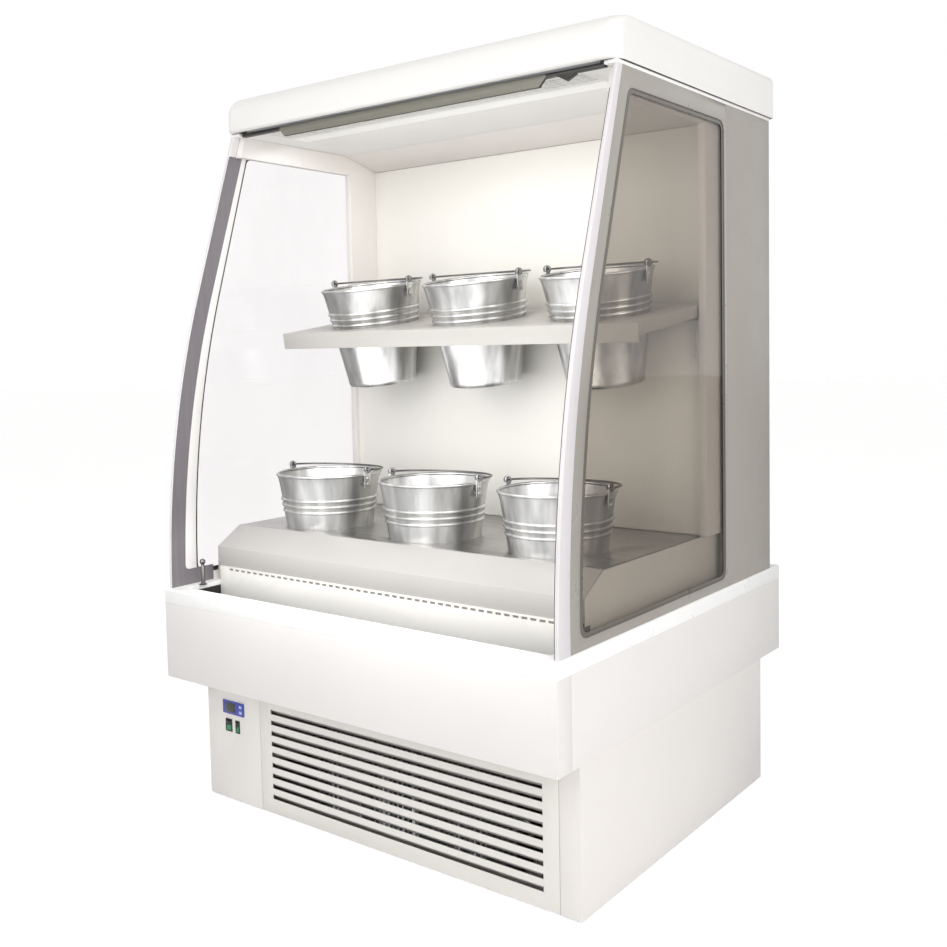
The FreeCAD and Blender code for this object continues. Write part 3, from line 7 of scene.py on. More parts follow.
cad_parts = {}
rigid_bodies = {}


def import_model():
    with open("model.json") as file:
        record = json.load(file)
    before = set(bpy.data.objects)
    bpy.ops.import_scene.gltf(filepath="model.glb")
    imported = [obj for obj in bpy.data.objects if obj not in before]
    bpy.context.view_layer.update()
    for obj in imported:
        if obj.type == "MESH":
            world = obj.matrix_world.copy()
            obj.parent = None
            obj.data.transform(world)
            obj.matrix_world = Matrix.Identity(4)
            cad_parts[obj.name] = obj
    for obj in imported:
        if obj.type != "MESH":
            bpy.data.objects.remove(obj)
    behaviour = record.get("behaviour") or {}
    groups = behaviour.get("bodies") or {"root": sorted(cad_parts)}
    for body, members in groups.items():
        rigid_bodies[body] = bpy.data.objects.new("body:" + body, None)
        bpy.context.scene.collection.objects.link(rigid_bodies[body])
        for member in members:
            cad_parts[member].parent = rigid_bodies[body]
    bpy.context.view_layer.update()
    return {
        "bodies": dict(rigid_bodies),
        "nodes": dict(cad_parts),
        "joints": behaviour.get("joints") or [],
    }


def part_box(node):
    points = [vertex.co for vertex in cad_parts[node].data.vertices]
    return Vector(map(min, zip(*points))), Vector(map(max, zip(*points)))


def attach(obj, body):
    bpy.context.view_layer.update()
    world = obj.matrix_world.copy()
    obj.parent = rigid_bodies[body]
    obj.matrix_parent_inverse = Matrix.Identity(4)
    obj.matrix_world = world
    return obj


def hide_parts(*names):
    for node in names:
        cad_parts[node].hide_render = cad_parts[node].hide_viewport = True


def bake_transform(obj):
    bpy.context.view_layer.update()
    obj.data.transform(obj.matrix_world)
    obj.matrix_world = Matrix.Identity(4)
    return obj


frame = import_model()
mm = 0.001
print("frame loaded:", len(frame["nodes"]), "nodes")

# camera at the photograph's own place and angle
cameraSet = {"place": (1.5807, -2.0422, 1.0736), "yaw": 36.66, "pitch": -3.623, "roll": -1.054,
             "lens": 41.151, "shiftX": -0.0254, "shiftY": -0.0619, "sensor": 36.0}


def makeCamera():
    data = bpy.data.cameras.new("camera")
    data.sensor_width = cameraSet["sensor"]
    data.lens = cameraSet["lens"]
    data.shift_x = cameraSet["shiftX"]
    data.shift_y = cameraSet["shiftY"]
    camera = bpy.data.objects.new("camera", data)
    turn = (Matrix.Rotation(math.radians(cameraSet["yaw"]), 4, "Z")
            @ Matrix.Rotation(math.radians(90 + cameraSet["pitch"]), 4, "X")
            @ Matrix.Rotation(math.radians(cameraSet["roll"]), 4, "Z"))
    camera.matrix_world = Matrix.Translation(cameraSet["place"]) @ turn
    bpy.context.scene.collection.objects.link(camera)
    bpy.context.scene.camera = camera


# every finish reads Object coordinates
def addNode(tree, kind, **inputs):
    node = tree.nodes.new(kind)
    for key, value in inputs.items():
        node.inputs[key.replace("_", " ")].default_value = value
    return node


def newFinish(name):
    material = bpy.data.materials.new(name)
    material.use_nodes = True
    tree = material.node_tree
    return material, tree, tree.nodes["Principled BSDF"]


def objectField(tree, scale, detail=3.0, stretch=(1, 1, 1)):
    coords = tree.nodes.new("ShaderNodeTexCoord")
    mapping = addNode(tree, "ShaderNodeMapping", Scale=stretch)
    field = addNode(tree, "ShaderNodeTexNoise", Scale=scale, Detail=detail)
    tree.links.new(coords.outputs["Object"], mapping.inputs["Vector"])
    tree.links.new(mapping.outputs["Vector"], field.inputs["Vector"])
    return field.outputs[0]


def spreadRange(tree, value, low, high, fromLow=0.3, fromHigh=0.7):  # noise seldom leaves its middle
    node = addNode(tree, "ShaderNodeMapRange", From_Min=fromLow, From_Max=fromHigh, To_Min=low, To_Max=high)
    tree.links.new(value, node.inputs["Value"])
    return node.outputs["Result"]


def mixColours(tree, factor, first, second):
    node = tree.nodes.new("ShaderNodeMix")
    node.data_type = "RGBA"
    tree.links.new(factor, node.inputs["Factor"])
    for socket in node.inputs:
        if socket.type == "RGBA" and socket.identifier.startswith("A_"):
            socket.default_value = (*first, 1)
        if socket.type == "RGBA" and socket.identifier.startswith("B_"):
            socket.default_value = (*second, 1)
    return [s for s in node.outputs if s.type == "RGBA"][0]


def linear(hexText):
    parts = [int(hexText[i:i + 2], 16) / 255 for i in (0, 2, 4)]
    return [p / 12.92 if p <= 0.04045 else ((p + 0.055) / 1.055) ** 2.4 for p in parts]


# what a finish has where its own row below says nothing
plainLook = {"shift": 0.03, "patchScale": 5.0, "patchDetail": 4.0, "smearScale": 14.0, "smear": 0.15,
             "grainScale": 900.0, "grainDetail": 2.0, "stretch": (1, 1, 1), "bump": 0.12, "bumpDepth": 0.0003,
             "metal": 0.0, "specular": 0.5, "coat": 0.0, "coatRough": 0.12}


def surface(name, row):
    look = {**plainLook, **row}
    material, tree, shader = newFinish(name)
    base = linear(look["colour"])
    dark = [c * (1 - look["shift"]) for c in base]
    light = [min(1.0, c * (1 + look["shift"])) for c in base]
    patches = objectField(tree, look["patchScale"], look["patchDetail"], look["stretch"])
    colour = mixColours(tree, spreadRange(tree, patches, 0.0, 1.0), dark, light)
    tree.links.new(colour, shader.inputs["Base Color"])
    grain = objectField(tree, look["grainScale"], look["grainDetail"], look["stretch"])
    smears = objectField(tree, look["smearScale"], 3.0, look["stretch"])
    rough = spreadRange(tree, smears, look["rough"] * (1 - look["smear"]), look["rough"] * (1 + look["smear"]))
    tree.links.new(rough, shader.inputs["Roughness"])
    bump = addNode(tree, "ShaderNodeBump", Strength=look["bump"], Distance=look["bumpDepth"])
    tree.links.new(grain, bump.inputs["Height"])
    tree.links.new(bump.outputs["Normal"], shader.inputs["Normal"])
    shader.inputs["Metallic"].default_value = look["metal"]
    shader.inputs["Specular IOR Level"].default_value = look["specular"]
    shader.inputs["Coat Weight"].default_value = look["coat"]
    shader.inputs["Coat Roughness"].default_value = look["coatRough"]
    if "glow" in look:
        shader.inputs["Emission Color"].default_value = (*linear(look["glow"]), 1)
        shader.inputs["Emission Strength"].default_value = look["glowStrength"]
    return material


brushed = {"metal": 1.0, "stretch": (1, 55, 55), "grainScale": 60.0, "patchScale": 3.0, "smearScale": 4.0}
finishes = {
    "casingWhite": {"colour": "ebe7e4", "rough": 0.38, "shift": 0.012},
    "beltWhite": {"colour": "ebe8e6", "rough": 0.34, "shift": 0.01},
    "railWhite": {"colour": "fdfdfc", "rough": 0.3, "shift": 0.008, "bump": 0.05},
    "canopyWhite": {"colour": "efedea", "rough": 0.34, "shift": 0.01},
    "grilleWhite": {"colour": "e6e3de", "rough": 0.36, "shift": 0.012},
    "linerCream": {"colour": "f2f0ea", "rough": 0.42, "shift": 0.012},
    "trimGrey": {"colour": "efebe7", "rough": 0.42, "shift": 0.012},
    "riserCream": {"colour": "f5f3ed", "rough": 0.42, "shift": 0.014},
    "ceilingWhite": {"colour": "f6f5f3", "rough": 0.45, "shift": 0.01},
    # the next two finishes are darker copies of the cream liner: painted shade on the shelf and on the deck nosing
    "shelfGrey": {"colour": "c0bdb8", "rough": 0.4, "shift": 0.015},
    "nosingGrey": {"colour": "c0bdba", "rough": 0.4, "shift": 0.014},
    "postLilac": {"colour": "e1dddf", "rough": 0.32, "shift": 0.015, "stretch": (20, 20, 1)},
    # painted shade: dark band on the inner side of each side panel's front edge
    "postDark": {"colour": "7b767b", "rough": 0.35, "shift": 0.05, "stretch": (20, 20, 1)},
    "borderGrey": {"colour": "a09b94", "rough": 0.3, "shift": 0.03, "coat": 0.3},
    "gasketGrey": {"colour": "6b665d", "rough": 0.5, "shift": 0.08, "specular": 0.3},
    # painted shade: dark band along the edge of each glass
    "bandGrey": {"colour": "625d55", "rough": 0.3, "shift": 0.05, "coat": 0.3},
    # painted shade: grey sheet behind the riser's slots
    "slotGrey": {"colour": "8d8882", "rough": 0.5, "shift": 0.03},
    "borderPale": {"colour": "eceae8", "rough": 0.4, "shift": 0.02},
    "rearGrey": {"colour": "a29d96", "rough": 0.4, "shift": 0.025, "patchScale": 3.0},
    # painted shade: dark finish on the gutter faces of the basin and the rail
    "gutterShade": {"colour": "2b2a2b", "rough": 0.45, "shift": 0.1},
    "foamWhite": {"colour": "e6e3dc", "rough": 0.6, "shift": 0.03},
    "deckSteel": {**brushed, "colour": "b2b0ae", "rough": 0.3, "shift": 0.12, "bump": 0.08},
    "plainSteel": {**brushed, "colour": "a9a9a8", "rough": 0.42, "shift": 0.08, "bump": 0.06},
    "wireSteel": {"colour": "777675", "rough": 0.34, "shift": 0.1, "metal": 1.0, "bump": 0.1},
    "footSteel": {"colour": "9d9d9b", "rough": 0.35, "shift": 0.08, "metal": 1.0},
    "enamelBlack": {"colour": "1c1d1f", "rough": 0.3, "shift": 0.12, "coat": 0.3},
    "rubberBlack": {"colour": "232323", "rough": 0.75, "shift": 0.12, "specular": 0.3},
    "copper": {"colour": "c07a50", "rough": 0.3, "shift": 0.14, "metal": 1.0, "patchScale": 14.0},
    "finAluminium": {"colour": "b9bbbd", "rough": 0.36, "shift": 0.08, "metal": 1.0},
    "fanPlastic": {"colour": "2a2b2d", "rough": 0.42, "shift": 0.08},
    "displayBlue": {"colour": "3a41a4", "rough": 0.18, "shift": 0.08, "coat": 0.6},
    "displayWindow": {"colour": "23262a", "rough": 0.08, "shift": 0.1, "coat": 1.0},
    "segmentOlive": {"colour": "545a3a", "rough": 0.3, "shift": 0.1},
    "keyBlue": {"colour": "a9c4ee", "rough": 0.3, "shift": 0.06},
    "frameBlack": {"colour": "1d2222", "rough": 0.32, "shift": 0.1},
    "rockerGreen": {"colour": "1d7a4a", "rough": 0.2, "shift": 0.12, "coat": 0.6, "glow": "1f8a50",
                    "glowStrength": 0.12},
    "rockerBlack": {"colour": "17191a", "rough": 0.25, "shift": 0.1, "coat": 0.3},
    "lampDiffuser": {"colour": "f8f8f6", "rough": 0.5, "shift": 0.01, "glow": "fffdf6", "glowStrength": 0.2},
    # dark bar, also painted shade on the grip's underside
    "barDarkAndUnderShade": {"colour": "34332f", "rough": 0.36, "shift": 0.12},
    "gripOlive": {"colour": "7f7d72", "rough": 0.4, "shift": 0.08, "stretch": (1, 30, 30)},
    "panWhite": {"colour": "dcdcd8", "rough": 0.4, "shift": 0.03},
    "boxGrey": {"colour": "c3c5c6", "rough": 0.45, "shift": 0.04},
}


zincSet = {"dark": "b4b4b3", "light": "dededd", "cloudScale": 30.0, "cloudFrom": 0.35, "cloudTo": 0.62,
           "roughLow": 0.28, "roughHigh": 0.38, "roughScale": 40.0, "dentScale": 22.0, "upright": (1, 1, 0.12),
           "bump": 0.25, "bumpDepth": 0.003}


def zincSurface(name):  # rolled, galvanised sheet with soft dents
    material, tree, shader = newFinish(name)
    wear = objectField(tree, zincSet["roughScale"], 1.0)
    clouds = objectField(tree, zincSet["cloudScale"], 3.0, zincSet["upright"])
    dents = objectField(tree, zincSet["dentScale"], 1.0, zincSet["upright"])
    share = spreadRange(tree, clouds, 0.0, 1.0, zincSet["cloudFrom"], zincSet["cloudTo"])
    tint = mixColours(tree, share, linear(zincSet["dark"]), linear(zincSet["light"]))
    tree.links.new(tint, shader.inputs["Base Color"])
    shader.inputs["Metallic"].default_value = 1.0
    tree.links.new(spreadRange(tree, wear, zincSet["roughLow"], zincSet["roughHigh"]),
                   shader.inputs["Roughness"])
    bump = addNode(tree, "ShaderNodeBump", Strength=zincSet["bump"], Distance=zincSet["bumpDepth"])
    tree.links.new(dents, bump.inputs["Height"])
    tree.links.new(bump.outputs["Normal"], shader.inputs["Normal"])
    return material


glassSet = {"tint": "aaa49b", "clear": "fefdfd", "gloss": 0.035, "ior": 1.5,
            "hazeScale": 5.0, "hazeDetail": 5.0, "hazeStretch": (1, 1, 0.6), "hazeDark": 0.95}


def glassSurface(name, tintHex):  # grey coat seen from outside only
    material, tree, shader = newFinish(name)
    tree.nodes.remove(shader)
    haze = objectField(tree, glassSet["hazeScale"], glassSet["hazeDetail"], glassSet["hazeStretch"])
    coat = linear(tintHex)
    plain = linear(glassSet["clear"])
    tint = mixColours(tree, spreadRange(tree, haze, 0.0, 1.0), [c * glassSet["hazeDark"] for c in coat], coat)
    side = tree.nodes.new("ShaderNodeNewGeometry")
    fromInside = tree.nodes.new("ShaderNodeMix")
    fromInside.data_type = "RGBA"
    colourIn = [k for k in fromInside.inputs if k.type == "RGBA"]
    tree.links.new(side.outputs["Backfacing"], fromInside.inputs["Factor"])
    tree.links.new(tint, colourIn[0])
    colourIn[1].default_value = (*plain, 1)
    through = tree.nodes.new("ShaderNodeBsdfTransparent")
    tree.links.new([k for k in fromInside.outputs if k.type == "RGBA"][0], through.inputs["Color"])
    gloss = addNode(tree, "ShaderNodeBsdfGlossy", Roughness=glassSet["gloss"])
    edge = addNode(tree, "ShaderNodeFresnel", IOR=glassSet["ior"])
    facing = addNode(tree, "ShaderNodeMath")
    facing.operation = "SUBTRACT"
    facing.inputs[0].default_value = 1.0
    outside = addNode(tree, "ShaderNodeMath")  # no mirror inside the unit
    outside.operation = "MULTIPLY"
    tree.links.new(side.outputs["Backfacing"], facing.inputs[1])
    tree.links.new(edge.outputs[0], outside.inputs[0])
    tree.links.new(facing.outputs[0], outside.inputs[1])
    mix = tree.nodes.new("ShaderNodeMixShader")
    tree.links.new(outside.outputs[0], mix.inputs[0])
    tree.links.new(through.outputs[0], mix.inputs[1])
    tree.links.new(gloss.outputs[0], mix.inputs[2])
    tree.links.new(mix.outputs[0], tree.nodes["Material Output"].inputs["Surface"])
    return material


clothSet = {"dark": "c9ccd0", "light": "dfe1e3", "rough": 0.6, "threads": 1400, "bump": 0.25, "bumpDepth": 0.0004,
            "thickness": 0.0006}


def clothSurface(name):  # woven sheet of the night blind
    material, tree, shader = newFinish(name)
    threads = clothSet["threads"]
    warp = objectField(tree, 1.0, 0.0, (threads, 0, 0))
    weft = objectField(tree, 1.0, 0.0, (0, threads, threads))
    tint = mixColours(tree, spreadRange(tree, warp, 0.0, 1.0), linear(clothSet["dark"]), linear(clothSet["light"]))
    tree.links.new(tint, shader.inputs["Base Color"])
    shader.inputs["Roughness"].default_value = clothSet["rough"]
    bump = addNode(tree, "ShaderNodeBump", Strength=clothSet["bump"], Distance=clothSet["bumpDepth"])
    tree.links.new(weft, bump.inputs["Height"])
    tree.links.new(bump.outputs["Normal"], shader.inputs["Normal"])
    return material


materials = {name: surface(name, look) for name, look in finishes.items()}
materials["zinc"] = zincSurface("zinc")
materials["glassOutside"] = glassSurface("glassOutside", glassSet["tint"])
materials["glassInside"] = glassSurface("glassInside", glassSet["clear"])
materials["blindCloth"] = clothSurface("blindCloth")
print("materials made:", len(materials))

# distances in metres, angles in degrees
meshSet = {"merge": 2e-5, "flatDegrees": 0.6, "seam": 1e-6, "bluntDegrees": 165}


def finishPiece(bm, name, finish, body="cabinet", nodes=(), angle=35, recalc=False):
    if recalc:
        bmesh.ops.recalc_face_normals(bm, faces=bm.faces)
    mesh = bpy.data.meshes.new(name)
    bm.to_mesh(mesh)
    bm.free()
    mesh.shade_smooth()
    mesh.set_sharp_from_angle(angle=math.radians(angle))
    piece = bpy.data.objects.new(name, mesh)
    bpy.context.scene.collection.objects.link(piece)
    for each in ([finish] if isinstance(finish, str) else finish):
        mesh.materials.append(materials[each])
    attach(piece, body)
    if nodes:
        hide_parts(*nodes)


def inOrder(items):  # a set's order would change from run to run
    return list(dict.fromkeys(items))


def pointsOf(geometry):
    return [g for g in geometry if isinstance(g, bmesh.types.BMVert)]


def sidePlate(outline, x, depth):  # upright plate from its (y, z) outline, in millimetres
    bm = bmesh.new()
    face = bm.faces.new([bm.verts.new((x * mm, y * mm, z * mm)) for y, z in outline])
    lifted = pointsOf(bmesh.ops.extrude_face_region(bm, geom=[face])["geom"])
    bmesh.ops.translate(bm, vec=(depth * mm, 0, 0), verts=lifted)
    return bm


def copyNode(node):
    bm = bmesh.new()
    bm.from_mesh(frame["nodes"][node].data)
    bmesh.ops.remove_doubles(bm, verts=bm.verts, dist=meshSet["merge"])
    bmesh.ops.dissolve_limit(bm, angle_limit=math.radians(meshSet["flatDegrees"]), verts=bm.verts,
                             edges=bm.edges)
    return bm


def soften(bm, width, segments=2, limit=30):  # rounds every fold sharper than the limit
    edges = [e for e in bm.edges if len(e.link_faces) == 2 and e.calc_face_angle(0) > math.radians(limit)]
    bmesh.ops.bevel(bm, geom=edges, offset=width, affect="EDGES", segments=segments, profile=0.5,
                    material=-1, clamp_overlap=True)


def addBlock(bm, low, high, bevel=0.0, segments=2):
    verts = bmesh.ops.create_cube(bm, size=1.0)["verts"]
    size = [b - a for a, b in zip(low, high)]
    middle = [(a + b) / 2 for a, b in zip(low, high)]
    bmesh.ops.scale(bm, vec=size, verts=verts)
    bmesh.ops.translate(bm, vec=middle, verts=verts)
    if bevel:
        edges = inOrder(e for v in verts for e in v.link_edges)
        bmesh.ops.bevel(bm, geom=edges, offset=bevel, affect="EDGES", segments=segments,
                        profile=0.5, material=-1, clamp_overlap=True)


def revolve(bm, profile, steps, place=Matrix.Identity(4)):
    points = [bm.verts.new((r, 0, z)) for r, z in profile]
    edges = [bm.edges.new(pair) for pair in zip(points, points[1:])]
    bmesh.ops.spin(bm, geom=points + edges, cent=(0, 0, 0), axis=(0, 0, 1), angle=math.tau, steps=steps,
                   use_merge=True)
    fresh = list(points)
    known = set(points)
    for v in fresh:  # grows along the edges while it runs
        for e in v.link_edges:
            if e.other_vert(v) not in known:
                known.add(e.other_vert(v))
                fresh.append(e.other_vert(v))
    bmesh.ops.remove_doubles(bm, verts=fresh, dist=meshSet["seam"])
    fresh = [v for v in fresh if v.is_valid]
    bmesh.ops.recalc_face_normals(bm, faces=inOrder(f for v in fresh for f in v.link_faces))
    bmesh.ops.transform(bm, matrix=place, verts=fresh)


def arcPoints(centre, radius, start, end, count):
    turns = [math.radians(start + (end - start) * i / (count - 1)) for i in range(count)]
    return [(centre[0] + radius * math.cos(t), centre[1] + radius * math.sin(t)) for t in turns]


def roundedPath(points, radius, steps=7):  # a closed line with its sharp corners rounded
    path = []
    count = len(points)
    for i, here in enumerate(points):
        back = points[i - 1] - here
        ahead = points[(i + 1) % count] - here
        turn = back.angle(ahead)
        if turn > math.radians(meshSet["bluntDegrees"]):
            path.append(here)
            continue
        reach = radius / math.tan(turn / 2)
        start = here + back.normalized() * reach
        end = here + ahead.normalized() * reach
        for k in range(steps + 1):
            t = k / steps
            path.append(start * (1 - t) ** 2 + here * 2 * t * (1 - t) + end * t ** 2)
    return path


def tubeAlong(points, radius, name, finish):  # a closed bead of round section
    curve = bpy.data.curves.new(name, "CURVE")
    curve.dimensions = "3D"
    spline = curve.splines.new("POLY")
    spline.points.add(len(points) - 1)
    for spot, point in zip(spline.points, points):
        spot.co = (*point, 1)
    spline.use_cyclic_u = True
    curve.bevel_depth = radius
    curve.bevel_resolution = 3
    holder = bpy.data.objects.new(name + "Line", curve)
    mesh = bpy.data.meshes.new_from_object(holder)
    bpy.data.objects.remove(holder)
    bm = bmesh.new()
    bm.from_mesh(mesh)
    bmesh.ops.remove_doubles(bm, verts=bm.verts, dist=meshSet["seam"])
    finishPiece(bm, name, finish, angle=50)


# folded sheet pieces: the CAD's own forms, each as (name, finish, slot, fold radius in millimetres)
sheetPieces = {
    "base_chassis": ("chassisTray", "plainSteel", "machine_steel", 0.5),
    "base_shell": ("baseShell", "casingWhite", "casing_white", 0.8),
    "control_panel": ("controlPanel", "casingWhite", "casing_white", 0.8),
    "belt_front": ("beltFront", "beltWhite", "casing_white", 1.8),
    "belt_sides": ("beltSides", "beltWhite", "casing_white", 1.8),
    "belt_rail": ("beltRail", ["railWhite", "gutterShade"], "rail_white", 0.8),
    "basin": ("insulatedBasin", ["foamWhite", "gutterShade"], "basin_plastic", 1.0),
    "side_posts": ("sidePosts", ["postLilac", "borderPale"], "post_anodised", 0.6),
    "side_frames": ("glassBorders", ["borderGrey", "borderPale"], "border_grey", 0.4),
    "rear_body": ("rearBody", ["rearGrey", "linerCream"], "rear_grey", 1.2),
    "inner_trims": ("linerTrims", "trimGrey", "liner_cream", 0.5),
    "lower_back_panel": ("lowerBackPanel", "linerCream", "liner_cream", 0.7),
    "upper_back_panel": ("upperBackPanel", "linerCream", "liner_cream", 0.7),
    "riser": ("gutterRiser", "riserCream", "liner_cream", 0.6),
    "deck_nosing": ("deckNosing", "nosingGrey", "liner_cream", 0.8),
    "deck_supports": ("deckSupports", "plainSteel", "machine_steel", 0.5),
    "shelf_brackets": ("shelfBrackets", "plainSteel", "machine_steel", 0.4),
    "ceiling": ("ceilingPanel", "ceilingWhite", "liner_cream", 0.4),
    "condenser_shroud": ("fanShroud", "plainSteel", "machine_steel", 0.4),
    "fan_plate": ("fanPlate", "plainSteel", "machine_steel", 0.4),
    "condensate_pan": ("condensatePan", "panWhite", "pan_plastic", 0.8),
    "lamp": ("lampTray", "lampDiffuser", "lamp_diffuser", 1.5),
}
movingSheets = {
    "grille_panel": ("louvredPanel", "grilleWhite", "casing_white", 0.7),
    "deck": ("bucketDeck", "deckSteel", "deck_steel", 0.6),
    "shelf": ("bucketShelf", "shelfGrey", "liner_cream", 0.7),
}


# limits of the second finish, in metres
innerSet = {"rearX": 0.5225, "rearY": 0.402, "gutterX": 0.5142, "gutterFront": -0.4635, "gutterRear": 0.402,
            "ledge": 0.011, "basinFront": -0.4585, "basinRear": 0.4015, "basinFloor": 0.35, "slack": 0.0001}


def isInner(face, node):  # faces that take a piece's second finish
    middle = face.calc_center_median()
    if node in ("side_posts", "side_frames"):
        return face.normal.x * middle.x < 0 and abs(face.normal.x) > 0.7
    if node == "rear_body":
        inside = abs(middle.x) < innerSet["rearX"] and middle.y < innerSet["rearY"]
        return inside and (face.normal.y < -0.5 or face.normal.x * middle.x < -0.01)
    # the rail's and the basin's faces in the gutter take the dark painted shade
    between = abs(middle.x) < innerSet["gutterX"]
    if node == "belt_rail":
        return (between and innerSet["gutterFront"] < middle.y < innerSet["gutterRear"]
                and middle.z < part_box(node)[1].z - innerSet["ledge"] - innerSet["slack"])
    if node == "basin":
        return (between and innerSet["basinFront"] < middle.y < innerSet["basinRear"]
                and middle.z > innerSet["basinFloor"])
    return False


def makeSheetPieces():
    for node, (name, finish, slot, width) in {**sheetPieces, **movingSheets}.items():
        bm = copyNode(node)
        soften(bm, width * mm)
        if node == "belt_rail":  # white above; below the ledge the gutter faces take the dark finish, painted shade in the gutter
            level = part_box(node)[1].z - innerSet["ledge"]
            bmesh.ops.bisect_plane(bm, geom=bm.verts[:] + bm.edges[:] + bm.faces[:], dist=meshSet["seam"],
                                   plane_co=(0, 0, level), plane_no=(0, 0, 1))
        if not isinstance(finish, str):
            for face in bm.faces:
                face.material_index = 1 if isInner(face, node) else 0
        finishPiece(bm, name, finish, node if node in movingSheets else "cabinet", (node,))
        print("  sheet piece", name)


# canopy: one moulded hood, lofted upwards from its rounded plan, in metres
canopySet = {"corner": 0.03, "rearCorner": 0.012, "nose": 0.052, "lip": 0.009, "edge": 0.012, "drop": 0.008,
             "wall": 0.004, "lipTurns": (0, 22, 45, 68, 90), "noseTurns": range(0, 91, 10), "opening": 0.5}


def makeCanopy():
    low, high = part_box("canopy")
    bm = bmesh.new()
    corners = [bm.verts.new(c) for c in ((low.x, low.y, low.z), (high.x, low.y, low.z),
                                         (high.x, high.y, low.z), (low.x, high.y, low.z))]
    face = bm.faces.new(corners)
    bmesh.ops.bevel(bm, geom=corners[:2], offset=canopySet["corner"], affect="VERTICES", segments=8,
                    profile=0.5, material=-1)
    rear = [v for v in bm.verts if v.co.y > high.y - 1e-5]
    bmesh.ops.bevel(bm, geom=rear, offset=canopySet["rearCorner"], affect="VERTICES", segments=4,
                    profile=0.5, material=-1)
    levels = []
    lip = canopySet["lip"]
    for t in canopySet["lipTurns"]:  # the small lip at the lower edge
        a = math.radians(t)
        levels.append((low.z + lip * (1 - math.cos(a)), lip * (1 - math.sin(a)), 0.0))
    top = high.z
    for t in canopySet["noseTurns"]:  # the nose, and the tighter side edges
        a = math.radians(t)
        front = canopySet["nose"] * (1 - math.cos(a))
        z = top - canopySet["nose"] * (1 - math.sin(a))
        under = max(0.0, z - (top - canopySet["edge"])) / canopySet["edge"]
        side = canopySet["edge"] * (1 - math.sqrt(max(0.0, 1 - under ** 2)))
        levels.append((z, front, side))
    half = high.x
    bm.faces.ensure_lookup_table()
    face = bm.faces[0]
    bottom = face
    now = (0.0, 0.0)
    for z, front, side in levels:
        if (z, front, side) != levels[0]:
            made = bmesh.ops.extrude_face_region(bm, geom=[face])["geom"]
            old = face
            face = [g for g in made if isinstance(g, bmesh.types.BMFace)][0]
            if old is not bottom:
                bmesh.ops.delete(bm, geom=[old], context="FACES_ONLY")
        y0, y1 = low.y + now[0], high.y - now[1]
        n0, n1 = low.y + front, high.y - side
        for v in face.verts:
            v.co.x *= (half - side) / (half - now[1])
            v.co.y = n0 + (v.co.y - y0) * (n1 - n0) / (y1 - y0)
            v.co.z = z
        now = (front, side)
    belly = [f for f in bm.faces if abs(f.normal.z) > 0.9 and f.calc_center_median().z < low.z + 1e-4
             and f.calc_area() > canopySet["opening"]]
    bmesh.ops.delete(bm, geom=belly, context="FACES_ONLY")  # the hood is open below
    for v in bm.verts:  # the top falls a little to the front
        share = (v.co.z - low.z) / (top - low.z)
        v.co.z -= canopySet["drop"] * share * (high.y - v.co.y) / (high.y - low.y)
    bmesh.ops.recalc_face_normals(bm, faces=bm.faces)
    bmesh.ops.solidify(bm, geom=bm.faces[:], thickness=canopySet["wall"])
    finishPiece(bm, "canopyHood", "canopyWhite", "cabinet", ("canopy",))
    print("canopy ready")


# buckets, their ears and their bails, in millimetres about the middle of the rim
bucketSet = {"rim": 128.0, "base": 86.0, "height": 250.0, "wall": 1.5, "roll": 3.5, "foot": 8.0, "neck": 22.0,
             "neckInside": 16.0, "beads": (62.0, 76.0, 90.0), "beadProud": 3.2, "beadHalf": 3.8, "steps": 88}
earSet = {"x": 127.5, "thickness": 2.5, "pin": 9.5, "eye": 7.5, "hole": 2.6, "width": 20.0, "drop": 34.0,
          "neck": 5.0, "bevel": 0.7, "rivets": (-12.0, -26.0), "shank": 3.0, "head": 4.2, "headProud": 2.2}
bailSet = {"wire": 2.25, "side": 134.25, "reach": 124.5, "corner": 4.0, "tail": 3.0, "gap": 0.3,
           "curl": 7.0, "curlTurn": 20}


def wallRadius(down):
    share = down / bucketSet["height"]
    return (bucketSet["rim"] - bucketSet["roll"]) * (1 - share) + bucketSet["base"] * share


def bucketProfile():  # from the floor's middle, out, up and back
    h = bucketSet["height"]
    roll = bucketSet["roll"]
    wall = bucketSet["wall"]
    foot = bucketSet["foot"]
    base = bucketSet["base"]
    centre = (bucketSet["rim"] - roll, -roll)
    path = [(0, -h + foot - wall), (base - 9, -h + foot - wall), (base - 4, -h + foot - wall - 2),
            (base - 3, -h + 2), (base - 2, -h), (base - 0.5, -h + 0.4), (base + 0.6, -h + 3),
            (wallRadius(h - 9) + 0.8, -h + 9), (wallRadius(h - 11), -h + 11)]
    for down in sorted(bucketSet["beads"], reverse=True):
        r = wallRadius(down)
        for k in range(9):
            a = math.radians(-90 + 22.5 * k)
            path.append((r + bucketSet["beadProud"] * math.cos(a) ** 0.8 if 0 < k < 8 else r,
                         -down + bucketSet["beadHalf"] * math.sin(a)))
    neck = bucketSet["neck"]
    inside = bucketSet["neckInside"]
    path.append((wallRadius(neck), -neck))
    path += arcPoints(centre, roll, -80, 230, 14)
    path += [(wallRadius(inside) - wall, -inside), (wallRadius(60) - wall, -60),
             (wallRadius(h - 20) - wall, -h + 20),
             (base - wall - 1, -h + foot + 4), (base - wall - 5, -h + foot), (0, -h + foot)]
    return [(r * mm, z * mm) for r, z in path]


